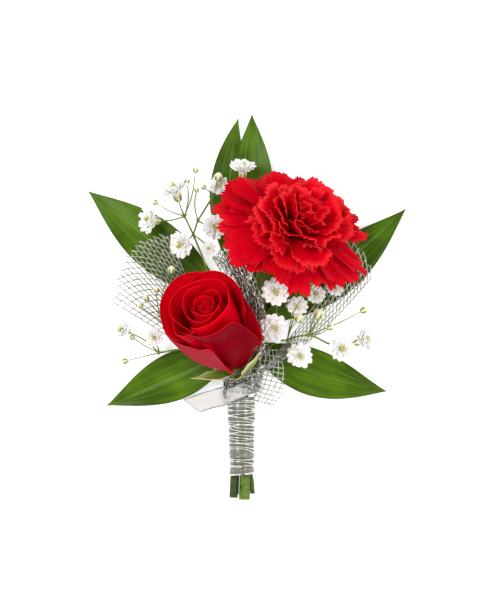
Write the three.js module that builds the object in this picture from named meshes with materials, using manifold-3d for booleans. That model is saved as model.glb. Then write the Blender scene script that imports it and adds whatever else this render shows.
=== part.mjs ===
// A boutonniere lying on its back: a rose, a carnation, ruscus leaves, baby's breath,
// net ribbon and a wound handle.
// Millimetres. X runs to the right, Y up towards the leaf tips, Z rises from the table.
import * as THREE from "three";
import { mergeVertices } from "three/addons/utils/BufferGeometryUtils.js";
import Module from "manifold-3d";

const wasm = await Module();
wasm.setup();

// Thicknesses of what is grown and woven
const LEAF_THICK = 0.8;
const PETAL_THICK = 0.8;
const FRINGE_THICK = 0.7;
const FLORET_THICK = 0.7;
const NET_THICK = 0.7;
const NET_STRAND = 0.9;
const RIBBON_THICK = 0.6;
const TWIG_RADIUS = 0.42;

// The handle: a tapering bundle of stems, its wrapping and the wire wound on it
const HANDLE_TOP = [-2.6, -36.2, 6.8];
const HANDLE_END = [-2.2, -66.8, 5.2];
const STEM_CUT_Y = -77;
const TAPE_TOP_RADIUS = 4.4;
const TAPE_END_RADIUS = 3.9;
const TAPE_WALL = 0.6;
const COLLAR_RADIUS = 5.5;
const COLLAR_LENGTH = 2.6;
const WIRE_RADIUS = 0.36;
const WIRE_TURNS = 16;
const WIRE_GAP = 0.6;
const WIRE_SIDES_PER_TURN = 8;

// Where each stem runs inside the handle, across and up from its axis, and how thick it is
const ROSE_LANE = { across: -1.7, up: 0.5, radius: 1.1 };
const CARNATION_LANE = { across: 1.6, up: 0.5, radius: 1.25 };
const RUSCUS_LANE = { across: 0, up: -1.95, radius: 0.9 };
const UPPER_LANE = { across: 0, up: 2.5, radius: 0.55 };
const LEFT_LANE = { across: -1.85, up: -1.5, radius: 0.55 };
const RIGHT_LANE = { across: 1.75, up: -1.65, radius: 0.55 };

// The rose: foot of the bloom, the way it looks, and its size
const ROSE_FOOT = [-3.9, -23.2, 13];
const ROSE_LOOK = [-0.32, 0.6, 0.733];
const ROSE_HEIGHT = 42;
const ROSE_RADIUS = 18.4;

// The carnation: mouth of the green cup, the way the bloom looks, and its size
const CUP_FOOT = [7, 4, 8];
const CUP_MOUTH = [15.4, 27, 22.4];
const CUP_RADIUS = 5.4;
const CARNATION_LOOK = [0.417, 0.556, 0.719];
const CARNATION_REACH = 27;

function vec(p) {
  return new THREE.Vector3(p[0], p[1], p[2]);
}

function toSolid(geometry) {
  const bare = new THREE.BufferGeometry();
  bare.setAttribute("position", geometry.getAttribute("position").clone());
  if (geometry.index) {
    bare.setIndex(geometry.index.clone());
  }
  const welded = mergeVertices(bare, 1e-4);
  const mesh = new wasm.Mesh({
    numProp: 3,
    vertProperties: welded.getAttribute("position").array,
    triVerts: new Uint32Array(welded.index.array),
  });
  return new wasm.Manifold(mesh);
}

// Volume under one triangle as seen from the origin
function wedge(spots, a, b, c) {
  const p = new THREE.Vector3().fromArray(spots, 3 * a);
  const q = new THREE.Vector3().fromArray(spots, 3 * b);
  const r = new THREE.Vector3().fromArray(spots, 3 * c);
  return p.dot(q.cross(r)) / 6;
}

// The outer skin alone: pockets closed in between grown petals are solid flesh
function outerSkin(spots, faces) {
  const parent = Array.from({ length: spots.length / 3 }, (_, i) => i);
  const find = (i) => {
    let top = i;
    while (parent[top] !== top) {
      parent[top] = parent[parent[top]];
      top = parent[top];
    }
    return top;
  };
  for (let t = 0; t < faces.length; t += 3) {
    parent[find(faces[t])] = find(faces[t + 1]);
    parent[find(faces[t + 1])] = find(faces[t + 2]);
  }
  const volumes = new Map();
  for (let t = 0; t < faces.length; t += 3) {
    const shell = find(faces[t]);
    const part = wedge(spots, faces[t], faces[t + 1], faces[t + 2]);
    volumes.set(shell, (volumes.get(shell) || 0) + part);
  }
  return faces.filter((_, n) => volumes.get(find(faces[n])) > 0);
}

function fromSolid(solid) {
  const mesh = solid.getMesh();
  const spots = new Float32Array(mesh.vertProperties);
  const skin = outerSkin(spots, Array.from(mesh.triVerts));
  const loose = new THREE.BufferGeometry();
  loose.setAttribute("position", new THREE.BufferAttribute(spots, 3));
  loose.setIndex(skin);
  const bare = new THREE.BufferGeometry();
  bare.setAttribute("position", loose.toNonIndexed().getAttribute("position"));
  const geometry = mergeVertices(bare, 1e-4);
  geometry.computeVertexNormals();
  return geometry;
}

// Several closed pieces grown together into one body
function fuse(pieces) {
  let body = toSolid(pieces[0]);
  for (const piece of pieces.slice(1)) {
    body = body.add(toSolid(piece));
  }
  return body.simplify(0.08);
}

// What presses on the table is flattened there
function pressedOnTable(solid) {
  const table = new THREE.BoxGeometry(400, 400, 20);
  table.translate(0, 0, -10);
  return solid.subtract(toSolid(table)).simplify(0.01);
}

function faceDirection(pointAt, u, v) {
  const step = 1e-3;
  const along = pointAt(Math.min(u + step, 1), v).sub(pointAt(Math.max(u - step, 0), v));
  const across = pointAt(u, Math.min(v + step, 1)).sub(pointAt(u, Math.max(v - step, -1)));
  return along.cross(across).normalize();
}

function solidFrom(spots, faces) {
  const geometry = new THREE.BufferGeometry();
  geometry.setAttribute("position", new THREE.Float32BufferAttribute(spots, 3));
  geometry.setIndex(faces);
  return geometry;
}

// A thin blade: u runs from its root to its end, v from side to side,
// with the same triangles on both faces
function blade(pointAt, rows, cols, thick) {
  const spots = [];
  const faces = [];
  const stride = cols + 1;
  const under = (rows + 1) * stride;
  for (const side of [0.5, -0.5]) {
    for (let i = 0; i <= rows; i += 1) {
      for (let j = 0; j <= cols; j += 1) {
        const u = i / rows;
        const v = (2 * j) / cols - 1;
        const spot = pointAt(u, v).addScaledVector(faceDirection(pointAt, u, v), side * thick);
        spots.push(spot.x, spot.y, spot.z);
      }
    }
  }
  for (let i = 0; i < rows; i += 1) {
    for (let j = 0; j < cols; j += 1) {
      const a = i * stride + j;
      const b = a + stride;
      const c = b + 1;
      const d = a + 1;
      faces.push(a, b, c, a, c, d);
      faces.push(a + under, c + under, b + under, a + under, d + under, c + under);
    }
  }
  for (let i = 0; i < rows; i += 1) {
    const a = i * stride;
    const b = a + stride;
    faces.push(a, a + under, b + under, a, b + under, b);
    const c = a + cols;
    const d = b + cols;
    faces.push(c, d + under, c + under, c, d, d + under);
  }
  for (let j = 0; j < cols; j += 1) {
    const a = j;
    const d = j + 1;
    faces.push(a, d + under, a + under, a, d, d + under);
    const b = rows * stride + j;
    const c = b + 1;
    faces.push(b, b + under, c + under, b, c + under, c);
  }
  return solidFrom(spots, faces);
}

// Woven net: a blade whose larger cells are open, so that strands are left between them
function net(pointAt, rows, cols) {
  const spots = [];
  const faces = [];
  const stride = cols + 1;
  const addPair = (u, v) => {
    const lift = faceDirection(pointAt, u, v).multiplyScalar(NET_THICK / 2);
    const middle = pointAt(u, v);
    const top = middle.clone().add(lift);
    const low = middle.clone().sub(lift);
    spots.push(top.x, top.y, top.z, low.x, low.y, low.z);
    return spots.length / 3 - 2;
  };
  const at = (i) => i / rows;
  const over = (j) => (2 * j) / cols - 1;
  for (let i = 0; i <= rows; i += 1) {
    for (let j = 0; j <= cols; j += 1) {
      addPair(at(i), over(j));
    }
  }
  const corner = (i, j) => 2 * (i * stride + j);
  const quad = (a, b, c, d) => {
    faces.push(a, b, c, a, c, d);
    faces.push(a + 1, c + 1, b + 1, a + 1, d + 1, c + 1);
  };
  const wall = (a, b) => {
    faces.push(a, a + 1, b + 1, a, b + 1, b);
  };
  for (let i = 0; i < rows; i += 1) {
    for (let j = 0; j < cols; j += 1) {
      const ring = [corner(i, j), corner(i + 1, j), corner(i + 1, j + 1), corner(i, j + 1)];
      const tall = pointAt(at(i), over(j + 0.5)).distanceTo(pointAt(at(i + 1), over(j + 0.5)));
      const wide = pointAt(at(i + 0.5), over(j)).distanceTo(pointAt(at(i + 0.5), over(j + 1)));
      if (Math.min(tall, wide) < 2.4 * NET_STRAND) {
        quad(ring[0], ring[1], ring[2], ring[3]);
        continue;
      }
      const du = (0.5 * NET_STRAND) / tall / rows;
      const dv = (NET_STRAND / wide) / cols;
      const hole = [
        addPair(at(i) + du, over(j) + dv),
        addPair(at(i + 1) - du, over(j) + dv),
        addPair(at(i + 1) - du, over(j + 1) - dv),
        addPair(at(i) + du, over(j + 1) - dv),
      ];
      for (let k = 0; k < 4; k += 1) {
        const next = (k + 1) % 4;
        quad(ring[k], ring[next], hole[next], hole[k]);
        wall(hole[next], hole[k]);
      }
    }
  }
  for (let i = 0; i < rows; i += 1) {
    wall(corner(i, 0), corner(i + 1, 0));
    wall(corner(i + 1, cols), corner(i, cols));
  }
  for (let j = 0; j < cols; j += 1) {
    wall(corner(0, j + 1), corner(0, j));
    wall(corner(rows, j), corner(rows, j + 1));
  }
  return solidFrom(spots, faces);
}

// A round stalk of even thickness through the given points
function stalk(points, radius, sides, steps) {
  const outline = new THREE.Shape();
  for (let k = 0; k < sides; k += 1) {
    const angle = (2 * Math.PI * k) / sides;
    const x = radius * Math.cos(angle);
    const y = radius * Math.sin(angle);
    if (k === 0) {
      outline.moveTo(x, y);
    } else {
      outline.lineTo(x, y);
    }
  }
  outline.closePath();
  const path = new THREE.CatmullRomCurve3(points.map(vec), false, "centripetal");
  return new THREE.ExtrudeGeometry(outline, { steps, extrudePath: path, bevelEnabled: false });
}

// Turns a piece built along +Z so that it points along look, and moves its foot to place
function aimed(geometry, place, look) {
  const turn = new THREE.Quaternion().setFromUnitVectors(new THREE.Vector3(0, 0, 1), vec(look).normalize());
  geometry.applyQuaternion(turn);
  geometry.translate(place[0], place[1], place[2]);
  return geometry;
}

// A body of revolution along +Z, its outline given as radius and height pairs from foot to top
function turned(outline, sides) {
  const geometry = new THREE.LatheGeometry(outline.map((p) => new THREE.Vector2(p[0], p[1])), sides);
  geometry.rotateX(Math.PI / 2);
  return geometry;
}

// Directions round a bloom that looks along the given way: front rises from the table,
// side runs to the right
function bloomFrame(foot, look) {
  const axis = vec(look).normalize();
  const front = new THREE.Vector3(0, 0, 1).addScaledVector(axis, -axis.z).normalize();
  const side = axis.clone().cross(front);
  return { foot: vec(foot), axis, front, side };
}

function outward(frame, angle) {
  const way = frame.front.clone().multiplyScalar(Math.cos(angle));
  return way.addScaledVector(frame.side, Math.sin(angle));
}

function radians(degrees) {
  return (degrees * Math.PI) / 180;
}

function smooth(t) {
  const s = Math.min(Math.max(t, 0), 1);
  return s * s * (3 - 2 * s);
}

// A point in the handle: a share of the way down, in the lane of one stem
function laneAt(lane, share) {
  const top = vec(HANDLE_TOP);
  const end = vec(HANDLE_END);
  const spot = top.lerp(end, share);
  return [spot.x + lane.across, spot.y, spot.z + lane.up];
}

function laneCut(lane, cutY) {
  const share = (cutY - HANDLE_TOP[1]) / (HANDLE_END[1] - HANDLE_TOP[1]);
  return laneAt(lane, share);
}

// Ruscus leaves: root, middle and tip of the midrib, greatest width and how far the blade is rolled
const LEAVES = [
  { root: [-6, 0, 5.2], middle: [-35.6, 24.2, 5.6], tip: [-63.6, 46.6, 0.3], width: 20.4, roll: 4 },
  { root: [3, -7.5, 5.2], middle: [33.4, 14.8, 5.6], tip: [63.7, 39.5, 0.3], width: 19.6, roll: -4 },
  { root: [-2, -15, 4.6], middle: [-28, -25.4, 3.4], tip: [-56.2, -39.3, 0.3], width: 19, roll: -3 },
  { root: [-1.9, -16.4, 4.4], middle: [26.6, -25, 3], tip: [56, -33.4, 0.3], width: 18.8, roll: 3 },
  { root: [0.5, 15, 6.4], middle: [1.8, 47, 6.6], tip: [2, 77.4, 2.4], width: 18.4, roll: 0 },
  { root: [-1, 5, 5.4], middle: [-7.4, 43, 3.4], tip: [-3.5, 75.8, 0.3], width: 17.6, roll: 0 },
];

function leafPoint(leaf) {
  const root = vec(leaf.root);
  const tip = vec(leaf.tip);
  const bend = vec(leaf.middle).multiplyScalar(2).addScaledVector(root, -0.5).addScaledVector(tip, -0.5);
  const rib = new THREE.QuadraticBezierCurve3(root, bend, tip);
  const lean = Math.tan(radians(leaf.roll));
  return (u, v) => {
    const spot = rib.getPoint(u);
    const run = rib.getTangent(u);
    const across = new THREE.Vector3(-run.y, run.x, 0).normalize();
    const half = 0.5 * leaf.width * Math.sin(Math.PI * Math.min(u, 0.995)) ** 1.1 + 0.35;
    spot.addScaledVector(across, half * v);
    spot.z += half * v * lean + 0.07 * half * v * v;
    return spot;
  };
}

function ruscusSprig() {
  const lane = RUSCUS_LANE;
  const stem = [laneCut(lane, STEM_CUT_Y + 2), laneAt(lane, 0.5), laneAt(lane, 0)];
  const pieces = [
    stalk([...stem, [-2.4, -26, 4.6], [-1.8, -14, 4.8], [-1.2, 2, 5.4], [-0.6, 16, 6.2]], lane.radius, 5, 9),
  ];
  for (const leaf of LEAVES) {
    pieces.push(blade(leafPoint(leaf), 7, 2, LEAF_THICK));
  }
  pieces.push(stalk([[-1.2, -6, 5.1], [-4, -2.5, 5.2], [-11, 4.2, 5.4]], 0.8, 5, 3));
  pieces.push(stalk([[-1.4, -13, 4.9], [1, -9.4, 5.1], [7, -4.4, 5.4]], 0.8, 5, 3));
  return pressedOnTable(fuse(pieces));
}

// Rose petals from the middle outward: where each stands round the bloom, how far it wraps,
// its share of the bloom's radius and height, the height its foot is seen from,
// how far it closes over the middle and how far its rim turns out
const ROSE_PETALS = [
  { turn: 30, wrap: 125, radius: 0.17, height: 0.94, foot: 0.6, close: 0.3, flare: 0 },
  { turn: 200, wrap: 110, radius: 0.3, height: 0.96, foot: 0.55, close: 0.24, flare: 0 },
  { turn: 320, wrap: 90, radius: 0.42, height: 0.98, foot: 0.5, close: 0.18, flare: 0 },
  { turn: 90, wrap: 80, radius: 0.5, height: 1, foot: 0.5, close: 0.14, flare: 0.3 },
  { turn: 215, wrap: 76, radius: 0.58, height: 1, foot: 0.45, close: 0.1, flare: 0.5 },
  { turn: 340, wrap: 68, radius: 0.66, height: 0.99, foot: 0.4, close: 0.08, flare: 0.6 },
  { turn: 110, wrap: 64, radius: 0.74, height: 0.97, foot: 0.35, close: 0.05, flare: 1.2 },
  { turn: 235, wrap: 62, radius: 0.82, height: 0.94, foot: 0.3, close: 0.02, flare: 1.8 },
  { turn: 10, wrap: 62, radius: 0.88, height: 0.9, foot: 0.12, close: 0.03, flare: 0.8 },
  { turn: 150, wrap: 58, radius: 0.9, height: 0.92, foot: 0.12, close: 0, flare: 3.6 },
  { turn: 272, wrap: 56, radius: 0.95, height: 0.89, foot: 0.06, close: 0, flare: 3.8 },
  { turn: 75, wrap: 44, radius: 0.97, height: 0.78, foot: 0.06, close: 0, flare: 2.6 },
  { turn: 208, wrap: 50, radius: 0.99, height: 0.88, foot: 0.06, close: 0, flare: 4.2 },
  { turn: 326, wrap: 42, radius: 0.99, height: 0.64, foot: 0.06, close: 0, flare: 1.6 },
];

function rosePetalPoint(frame, petal) {
  const rootRadius = 2.2;
  return (u, v) => {
    const wrap = petal.wrap * (0.5 + 0.5 * smooth(2.2 * (petal.foot + u * (1 - petal.foot))));
    const angle = radians(petal.turn + wrap * v);
    const tall = petal.height * ROSE_HEIGHT * (1 - 0.16 * v * v * u);
    const rise = tall * (petal.foot + (1 - petal.foot) * u) - 0.9 * petal.flare * smooth(3 * u - 2);
    const share = Math.min(rise / ROSE_HEIGHT, 1);
    const bowl = Math.sin(Math.min(2.3 * share, Math.PI / 2)) ** 0.8;
    const full = petal.radius * ROSE_RADIUS * (1 - petal.close * share ** 3);
    const lap = 0.45 * v * smooth(2 * u);
    const reach = rootRadius + (full - rootRadius) * bowl + lap + petal.flare * smooth(3 * u - 2);
    const spot = frame.foot.clone().addScaledVector(frame.axis, rise);
    return spot.addScaledVector(outward(frame, angle), reach);
  };
}

function roseBloom() {
  const frame = bloomFrame(ROSE_FOOT, ROSE_LOOK);
  const heartOutline = [[0, -0.6], [3.2, 0.2], [9.6, 7], [12.4, 14], [12.2, 20], [8, 26], [0, 30]];
  const heart = turned(heartOutline, 7);
  const pieces = [aimed(heart, ROSE_FOOT, ROSE_LOOK)];
  for (const petal of ROSE_PETALS) {
    const cols = petal.wrap > 85 ? 7 : 5;
    const rows = petal.foot > 0.2 ? 3 : 4;
    pieces.push(blade(rosePetalPoint(frame, petal), rows, cols, PETAL_THICK));
  }
  return fuse(pieces);
}

// Sepals under the rose: where each grows, how far it reaches out and up, and its width
const SEPALS = [
  { turn: 262, reach: 19, rise: 3.6, width: 5 },
  { turn: 62, reach: 14.5, rise: 6, width: 5.6 },
  { turn: 122, reach: 10, rise: 1, width: 4.6 },
  { turn: 166, reach: 7.6, rise: 3, width: 4 },
  { turn: 340, reach: 9.6, rise: 2.6, width: 4.6 },
];

function sepalPoint(frame, sepal) {
  const way = outward(frame, radians(sepal.turn));
  const across = frame.axis.clone().cross(way);
  return (u, v) => {
    const out = 2.2 + (sepal.reach - 2.2) * u;
    const up = -2.4 + (sepal.rise + 2.4) * u ** 1.5;
    const half = 0.5 * sepal.width * (1 - u ** 1.6) + 0.3;
    const spot = frame.foot.clone().addScaledVector(way, out).addScaledVector(frame.axis, up);
    return spot.addScaledVector(across, half * v);
  };
}

function roseStem() {
  const lane = ROSE_LANE;
  const frame = bloomFrame(ROSE_FOOT, ROSE_LOOK);
  const hip = turned([[0, -8.4], [1.3, -8.2], [3.4, -6.2], [4.1, -4], [3.2, -1.4], [0, -1.2]], 8);
  const hipFoot = frame.foot.clone().addScaledVector(frame.axis, -7.6);
  const pieces = [aimed(hip, ROSE_FOOT, ROSE_LOOK)];
  const down = [laneAt(lane, 0), laneAt(lane, 0.5), laneCut(lane, STEM_CUT_Y + 0.8)];
  const path = [hipFoot.toArray(), [-2.7, -31.6, 7.2], ...down];
  pieces.push(stalk(path, lane.radius, 6, 9));
  for (const sepal of SEPALS) {
    pieces.push(blade(sepalPoint(frame, sepal), 4, 2, 0.7));
  }
  return fuse(pieces);
}

// Carnation petals stand in rings: how many, how far they lean out, their length, width and frill
const FRINGE_RINGS = [
  { count: 7, start: 12, lean: 92, length: 1, width: 13.5, frill: 1.2 },
  { count: 6, start: 38, lean: 72, length: 0.96, width: 11, frill: 1.6 },
  { count: 5, start: 0, lean: 51, length: 0.9, width: 10, frill: 1.8 },
  { count: 3, start: 25, lean: 29, length: 0.85, width: 9, frill: 1.8 },
  { count: 2, start: 80, lean: 9, length: 0.8, width: 6.5, frill: 1.5 },
];

function fringedPetalPoint(frame, ring, turn, index) {
  const way = outward(frame, radians(turn));
  const across = frame.axis.clone().cross(way);
  const length = ring.length * CARNATION_REACH * (1 - 0.12 * Math.abs(Math.cos(radians(turn))));
  const lean = radians(ring.lean * (0.9 + 0.1 * Math.cos(radians(turn))));
  const foot = frame.foot.clone().addScaledVector(way, 0.8 + 0.022 * ring.lean);
  const endUp = length * Math.cos(lean);
  const endOut = length * Math.sin(lean);
  const firstUp = 0.42 * length;
  return (u, v) => {
    const tooth = Math.round(Math.abs(v) * 4) % 2 === 1 ? 0.06 : 0;
    const s = u * (1 - 0.13 * v * v + tooth * u);
    const up = 2 * s * (1 - s) * firstUp + s * s * endUp;
    const out = s * s * endOut;
    const upRun = 2 * (1 - 2 * s) * firstUp + 2 * s * endUp;
    const outRun = 2 * s * endOut;
    const run = Math.hypot(upRun, outRun) + 1e-6;
    const half = ring.width * (0.14 + 0.86 * smooth(0.2 + 0.8 * s) * s);
    const wave = ring.frill * s * s * Math.sin(2.2 * Math.PI * v + 1.7 * index);
    const spot = foot.clone().addScaledVector(frame.axis, up + (wave * outRun) / run);
    spot.addScaledVector(way, out - (wave * upRun) / run);
    return spot.addScaledVector(across, half * v);
  };
}

function carnationBloom() {
  const frame = bloomFrame(CUP_MOUTH, CARNATION_LOOK);
  const heart = turned([[0, -0.8], [3.8, -0.5], [6, 3], [6, 7], [3, 11], [0, 12]], 8);
  const pieces = [aimed(heart, CUP_MOUTH, CARNATION_LOOK)];
  FRINGE_RINGS.forEach((ring, level) => {
    for (let k = 0; k < ring.count; k += 1) {
      const turn = ring.start + (360 * k) / ring.count;
      const rows = ring.lean > 60 ? 3 : 2;
      pieces.push(blade(fringedPetalPoint(frame, ring, turn, k + level), rows, 8, FRINGE_THICK));
    }
  });
  return fuse(pieces);
}

function carnationStem() {
  const lane = CARNATION_LANE;
  const foot = vec(CUP_FOOT);
  const look = vec(CUP_MOUTH).sub(foot).normalize();
  const length = vec(CUP_MOUTH).distanceTo(foot) - 2.2;
  const wide = CUP_RADIUS;
  const outline = [
    [0, -0.5],
    [2.2, 0],
    [wide - 1.4, 3.5],
    [wide - 0.5, 9],
    [wide, length - 3],
    [wide - 0.8, length],
    [0, length],
  ];
  const cup = turned(outline, 10);
  const path = [
    laneCut(lane, STEM_CUT_Y),
    laneAt(lane, 0.5),
    laneAt(lane, 0),
    [-0.8, -33.6, 7],
    [0.2, -30.6, 6.7],
    [3.3, -24, 6.6],
    [5.8, -12, 7.2],
    [6.4, -3, 7.6],
    [7.1, 4.6, 8.4],
  ];
  const pieces = [aimed(cup, CUP_FOOT, look.toArray()), stalk(path, lane.radius, 6, 9)];
  return fuse(pieces);
}

// A double floret in one piece: a pointed green cup, an outer ring of notched petals
// and an inner ring above it
function floret(head) {
  const radius = head.size / 2;
  const petals = head.size > 9.5 ? 6 : 5;
  const count = 2 * petals;
  const rings = [
    { tip: 0.3 * radius + 0.3, notch: 0.3 * radius + 0.3, height: -0.12 * radius },
    { tip: radius, notch: 0.8 * radius, height: 0.16 * radius },
    { tip: radius, notch: 0.8 * radius, height: 0.16 * radius + FLORET_THICK },
    { tip: 0.5 * radius, notch: 0.45 * radius, height: 0.12 * radius + 0.4 },
    { tip: 0.66 * radius, notch: 0.52 * radius, height: 0.56 * radius },
  ];
  const spots = [0, 0, -0.42 * radius - 0.9];
  for (const ring of rings) {
    for (let k = 0; k < count; k += 1) {
      const reach = k % 2 === 0 ? ring.tip : ring.notch;
      const angle = (2 * Math.PI * k) / count;
      spots.push(reach * Math.cos(angle), reach * Math.sin(angle), ring.height);
    }
  }
  spots.push(0, 0, 0.3 * radius);
  const last = spots.length / 3 - 1;
  const at = (row, k) => 1 + row * count + (k % count);
  const faces = [];
  for (let k = 0; k < count; k += 1) {
    faces.push(0, at(0, k + 1), at(0, k));
    for (let row = 0; row < rings.length - 1; row += 1) {
      faces.push(at(row, k), at(row, k + 1), at(row + 1, k + 1));
      faces.push(at(row, k), at(row + 1, k + 1), at(row + 1, k));
    }
    faces.push(at(rings.length - 1, k), at(rings.length - 1, k + 1), last);
  }
  return aimed(solidFrom(spots, faces), head.at, head.look);
}

function bud(spot, size) {
  const ball = new THREE.SphereGeometry(size / 2, 5, 3);
  ball.translate(spot[0], spot[1], spot[2]);
  return ball;
}

// The little knot where a stem of baby's breath forks
function swelling(fork) {
  const knot = new THREE.SphereGeometry(1.1, 4, 2);
  knot.rotateZ(0.4);
  knot.translate(fork[0], fork[1], fork[2]);
  return knot;
}

function behind(head) {
  const look = vec(head.look).normalize();
  return vec(head.at).addScaledVector(look, -0.24 * head.size).toArray();
}

function spray(parts) {
  const pieces = parts.stems.map((points) => stalk(points, TWIG_RADIUS + 0.08, 4, points.length + 4));
  for (const fork of parts.forks) {
    pieces.push(swelling(fork));
  }
  for (const head of parts.heads) {
    pieces.push(floret(head));
    pieces.push(stalk([head.from, behind(head)], TWIG_RADIUS, 4, 1));
  }
  for (const seed of parts.buds) {
    pieces.push(bud(seed.at, seed.size));
    pieces.push(stalk([seed.from, seed.at], TWIG_RADIUS, 4, 1));
  }
  return fuse(pieces);
}

function upperSpray() {
  const lane = UPPER_LANE;
  const crook = [-21.4, 29, 14.6];
  const fork = [-24.8, 36.2, 15.4];
  const middleFork = [-19.6, 34.6, 14.6];
  const highFork = [-13.4, 44.6, 12.6];
  const handle = [laneCut(lane, STEM_CUT_Y + 6), laneAt(lane, 0.5), laneAt(lane, 0), [-3.3, -33, 9.7]];
  const bend = [[-4.4, -30.8, 9], [-7.6, -27.4, 8.4], [-9.8, -23, 8.3], [-10.6, -14, 9.2]];
  return spray({
    stems: [
      [...handle, ...bend, [-13, 2, 10.6], [-17, 18, 13.2], crook],
      [crook, fork],
      [crook, middleFork],
      [middleFork, highFork],
    ],
    forks: [crook, fork, middleFork, highFork],
    heads: [
      { at: [-29.2, 47.8, 17], look: [-0.5, 0.8, 0.35], size: 9, from: fork },
      { at: [-38.8, 35, 16], look: [-0.75, 0.4, 0.55], size: 9, from: fork },
      { at: [-26, 24.6, 17], look: [-0.1, -0.1, 1], size: 9.4, from: crook },
      { at: [-12.9, 32, 13], look: [0.1, 0, 1], size: 9.6, from: middleFork },
      { at: [-11.2, 48.4, 12.6], look: [0, 0.3, 0.9], size: 8.6, from: highFork },
      { at: [-1.6, 56.6, 14], look: [0.1, 0.9, 0.4], size: 10, from: highFork },
      { at: [-15, 23.2, 15], look: [0, 0.2, 1], size: 6, from: crook },
    ],
    buds: [
      { at: [-20.4, 54.6, 17], size: 2.6, from: fork },
      { at: [-23.8, 50.2, 16], size: 2.4, from: fork },
      { at: [-36.6, 41.8, 16], size: 2.4, from: fork },
      { at: [-20, 46.8, 17], size: 2.2, from: middleFork },
      { at: [-17.4, 48, 15.4], size: 2.4, from: highFork },
      { at: [-11.4, 53.4, 16], size: 3.4, from: highFork },
    ],
  });
}

function leftSpray() {
  const lane = LEFT_LANE;
  const fork = [-35, -18, 11.4];
  const near = [-25, -20.4, 9.6];
  const high = [-33.4, -6, 12.4];
  const handle = [laneCut(lane, STEM_CUT_Y + 8), laneAt(lane, 0.5), laneAt(lane, 0), [-4.7, -30.3, 5.4]];
  return spray({
    stems: [
      [...handle, [-8.6, -27.8, 5.2], [-13, -25, 5.8], near, fork],
      [near, high],
    ],
    forks: [near, fork, high],
    heads: [
      { at: [-49.6, -9, 13.6], look: [-0.95, 0.2, 0.2], size: 6.8, from: fork },
      { at: [-37, -12, 13.6], look: [-0.1, 0.2, 1], size: 8, from: fork },
    ],
    buds: [
      { at: [-45.8, -11.8, 13], size: 2.4, from: fork },
      { at: [-48.8, -21.4, 12], size: 2.8, from: fork },
      { at: [-42.4, 0.6, 16.4], size: 2.4, from: high },
      { at: [-40, 3.8, 17.4], size: 2.4, from: high },
      { at: [-36, 7, 18], size: 2.6, from: high },
      { at: [-30, 15, 18.6], size: 3, from: high },
    ],
  });
}

function rightSpray() {
  const lane = RIGHT_LANE;
  const low = [11, -14, 9.6];
  const middle = [16, -12.8, 12.4];
  const far = [24.4, -11, 14.4];
  const outer = [32.8, -14.6, 15];
  const handle = [laneCut(lane, STEM_CUT_Y + 9), laneAt(lane, 0.5), laneAt(lane, 0), [-0.75, -31, 4.85]];
  return spray({
    stems: [
      [...handle, [2.4, -27.4, 4.6], [6.2, -22, 5.7], [8.4, -17.4, 7.8], low, middle, far, outer],
    ],
    forks: [low, middle, far, outer],
    heads: [
      { at: [11.2, 6.2, 22], look: [0, -0.1, 1], size: 10.4, from: low },
      { at: [11.4, -8.2, 19], look: [0.05, -0.1, 1], size: 10.8, from: low },
      { at: [20.8, -19, 15.6], look: [0.05, -0.15, 1], size: 10.8, from: middle },
      { at: [37.6, -15.8, 16.6], look: [0.4, 0.25, 0.85], size: 10.2, from: outer },
      { at: [46.8, -13.4, 16], look: [0.9, 0.3, 0.25], size: 8.6, from: outer },
      { at: [27.2, 5.4, 18], look: [0.1, 0.1, 1], size: 8, from: far },
      { at: [20, 0.4, 16.6], look: [-0.1, 0, 1], size: 9, from: middle },
      { at: [34.6, 7.8, 16], look: [0.3, 0.3, 0.9], size: 8, from: far },
    ],
    buds: [
      { at: [28.4, -2.6, 18], size: 4.2, from: far },
      { at: [20.8, -5.6, 18], size: 2.6, from: middle },
      { at: [33.2, -7.8, 17.4], size: 2.8, from: far },
      { at: [46.4, -1, 17], size: 3.2, from: far },
    ],
  });
}

// A fan of net: gathered at its root and spreading towards an outer edge that bulges,
// with pleats that open out
function netFan(fan) {
  const root = vec(fan.root);
  const rim = new THREE.QuadraticBezierCurve3(vec(fan.first), vec(fan.bulge), vec(fan.second));
  const bow = vec(fan.bow);
  return (u, v) => {
    const edge = rim.getPoint((v + 1) / 2);
    const start = root.clone().addScaledVector(vec(fan.spread), v);
    const spot = start.lerp(edge, u).addScaledVector(bow, Math.sin(Math.PI * u));
    spot.z += fan.pleat * u * Math.sin(fan.folds * Math.PI * v);
    return spot;
  };
}

const LEFT_NET = {
  root: [-8.8, -26.4, 7], spread: [-1, 2, 0.3], bow: [1, 0.5, -1], pleat: 0.9, folds: 2,
  first: [-53.4, 1.4, 12], bulge: [-46, 26, 12.4], second: [-30, 31, 11.6],
};
const RIGHT_NET = {
  root: [5.8, -26.2, 7.7], spread: [1.2, -1, 0], bow: [4, -3.4, -0.6], pleat: 0.8, folds: 1.5,
  first: [50.2, 12, 12], bulge: [50.6, 19, 11.6], second: [44, 25, 11],
};
const LOWER_NET = {
  root: [5.1, -28.6, 9.6], spread: [0.6, 2.4, 0], bow: [0, 0, 1.2], pleat: 0.5, folds: 1.5,
  first: [7, -39.4, 7.6], bulge: [20, -32, 8.6], second: [12, -15.6, 10.4],
};

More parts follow.
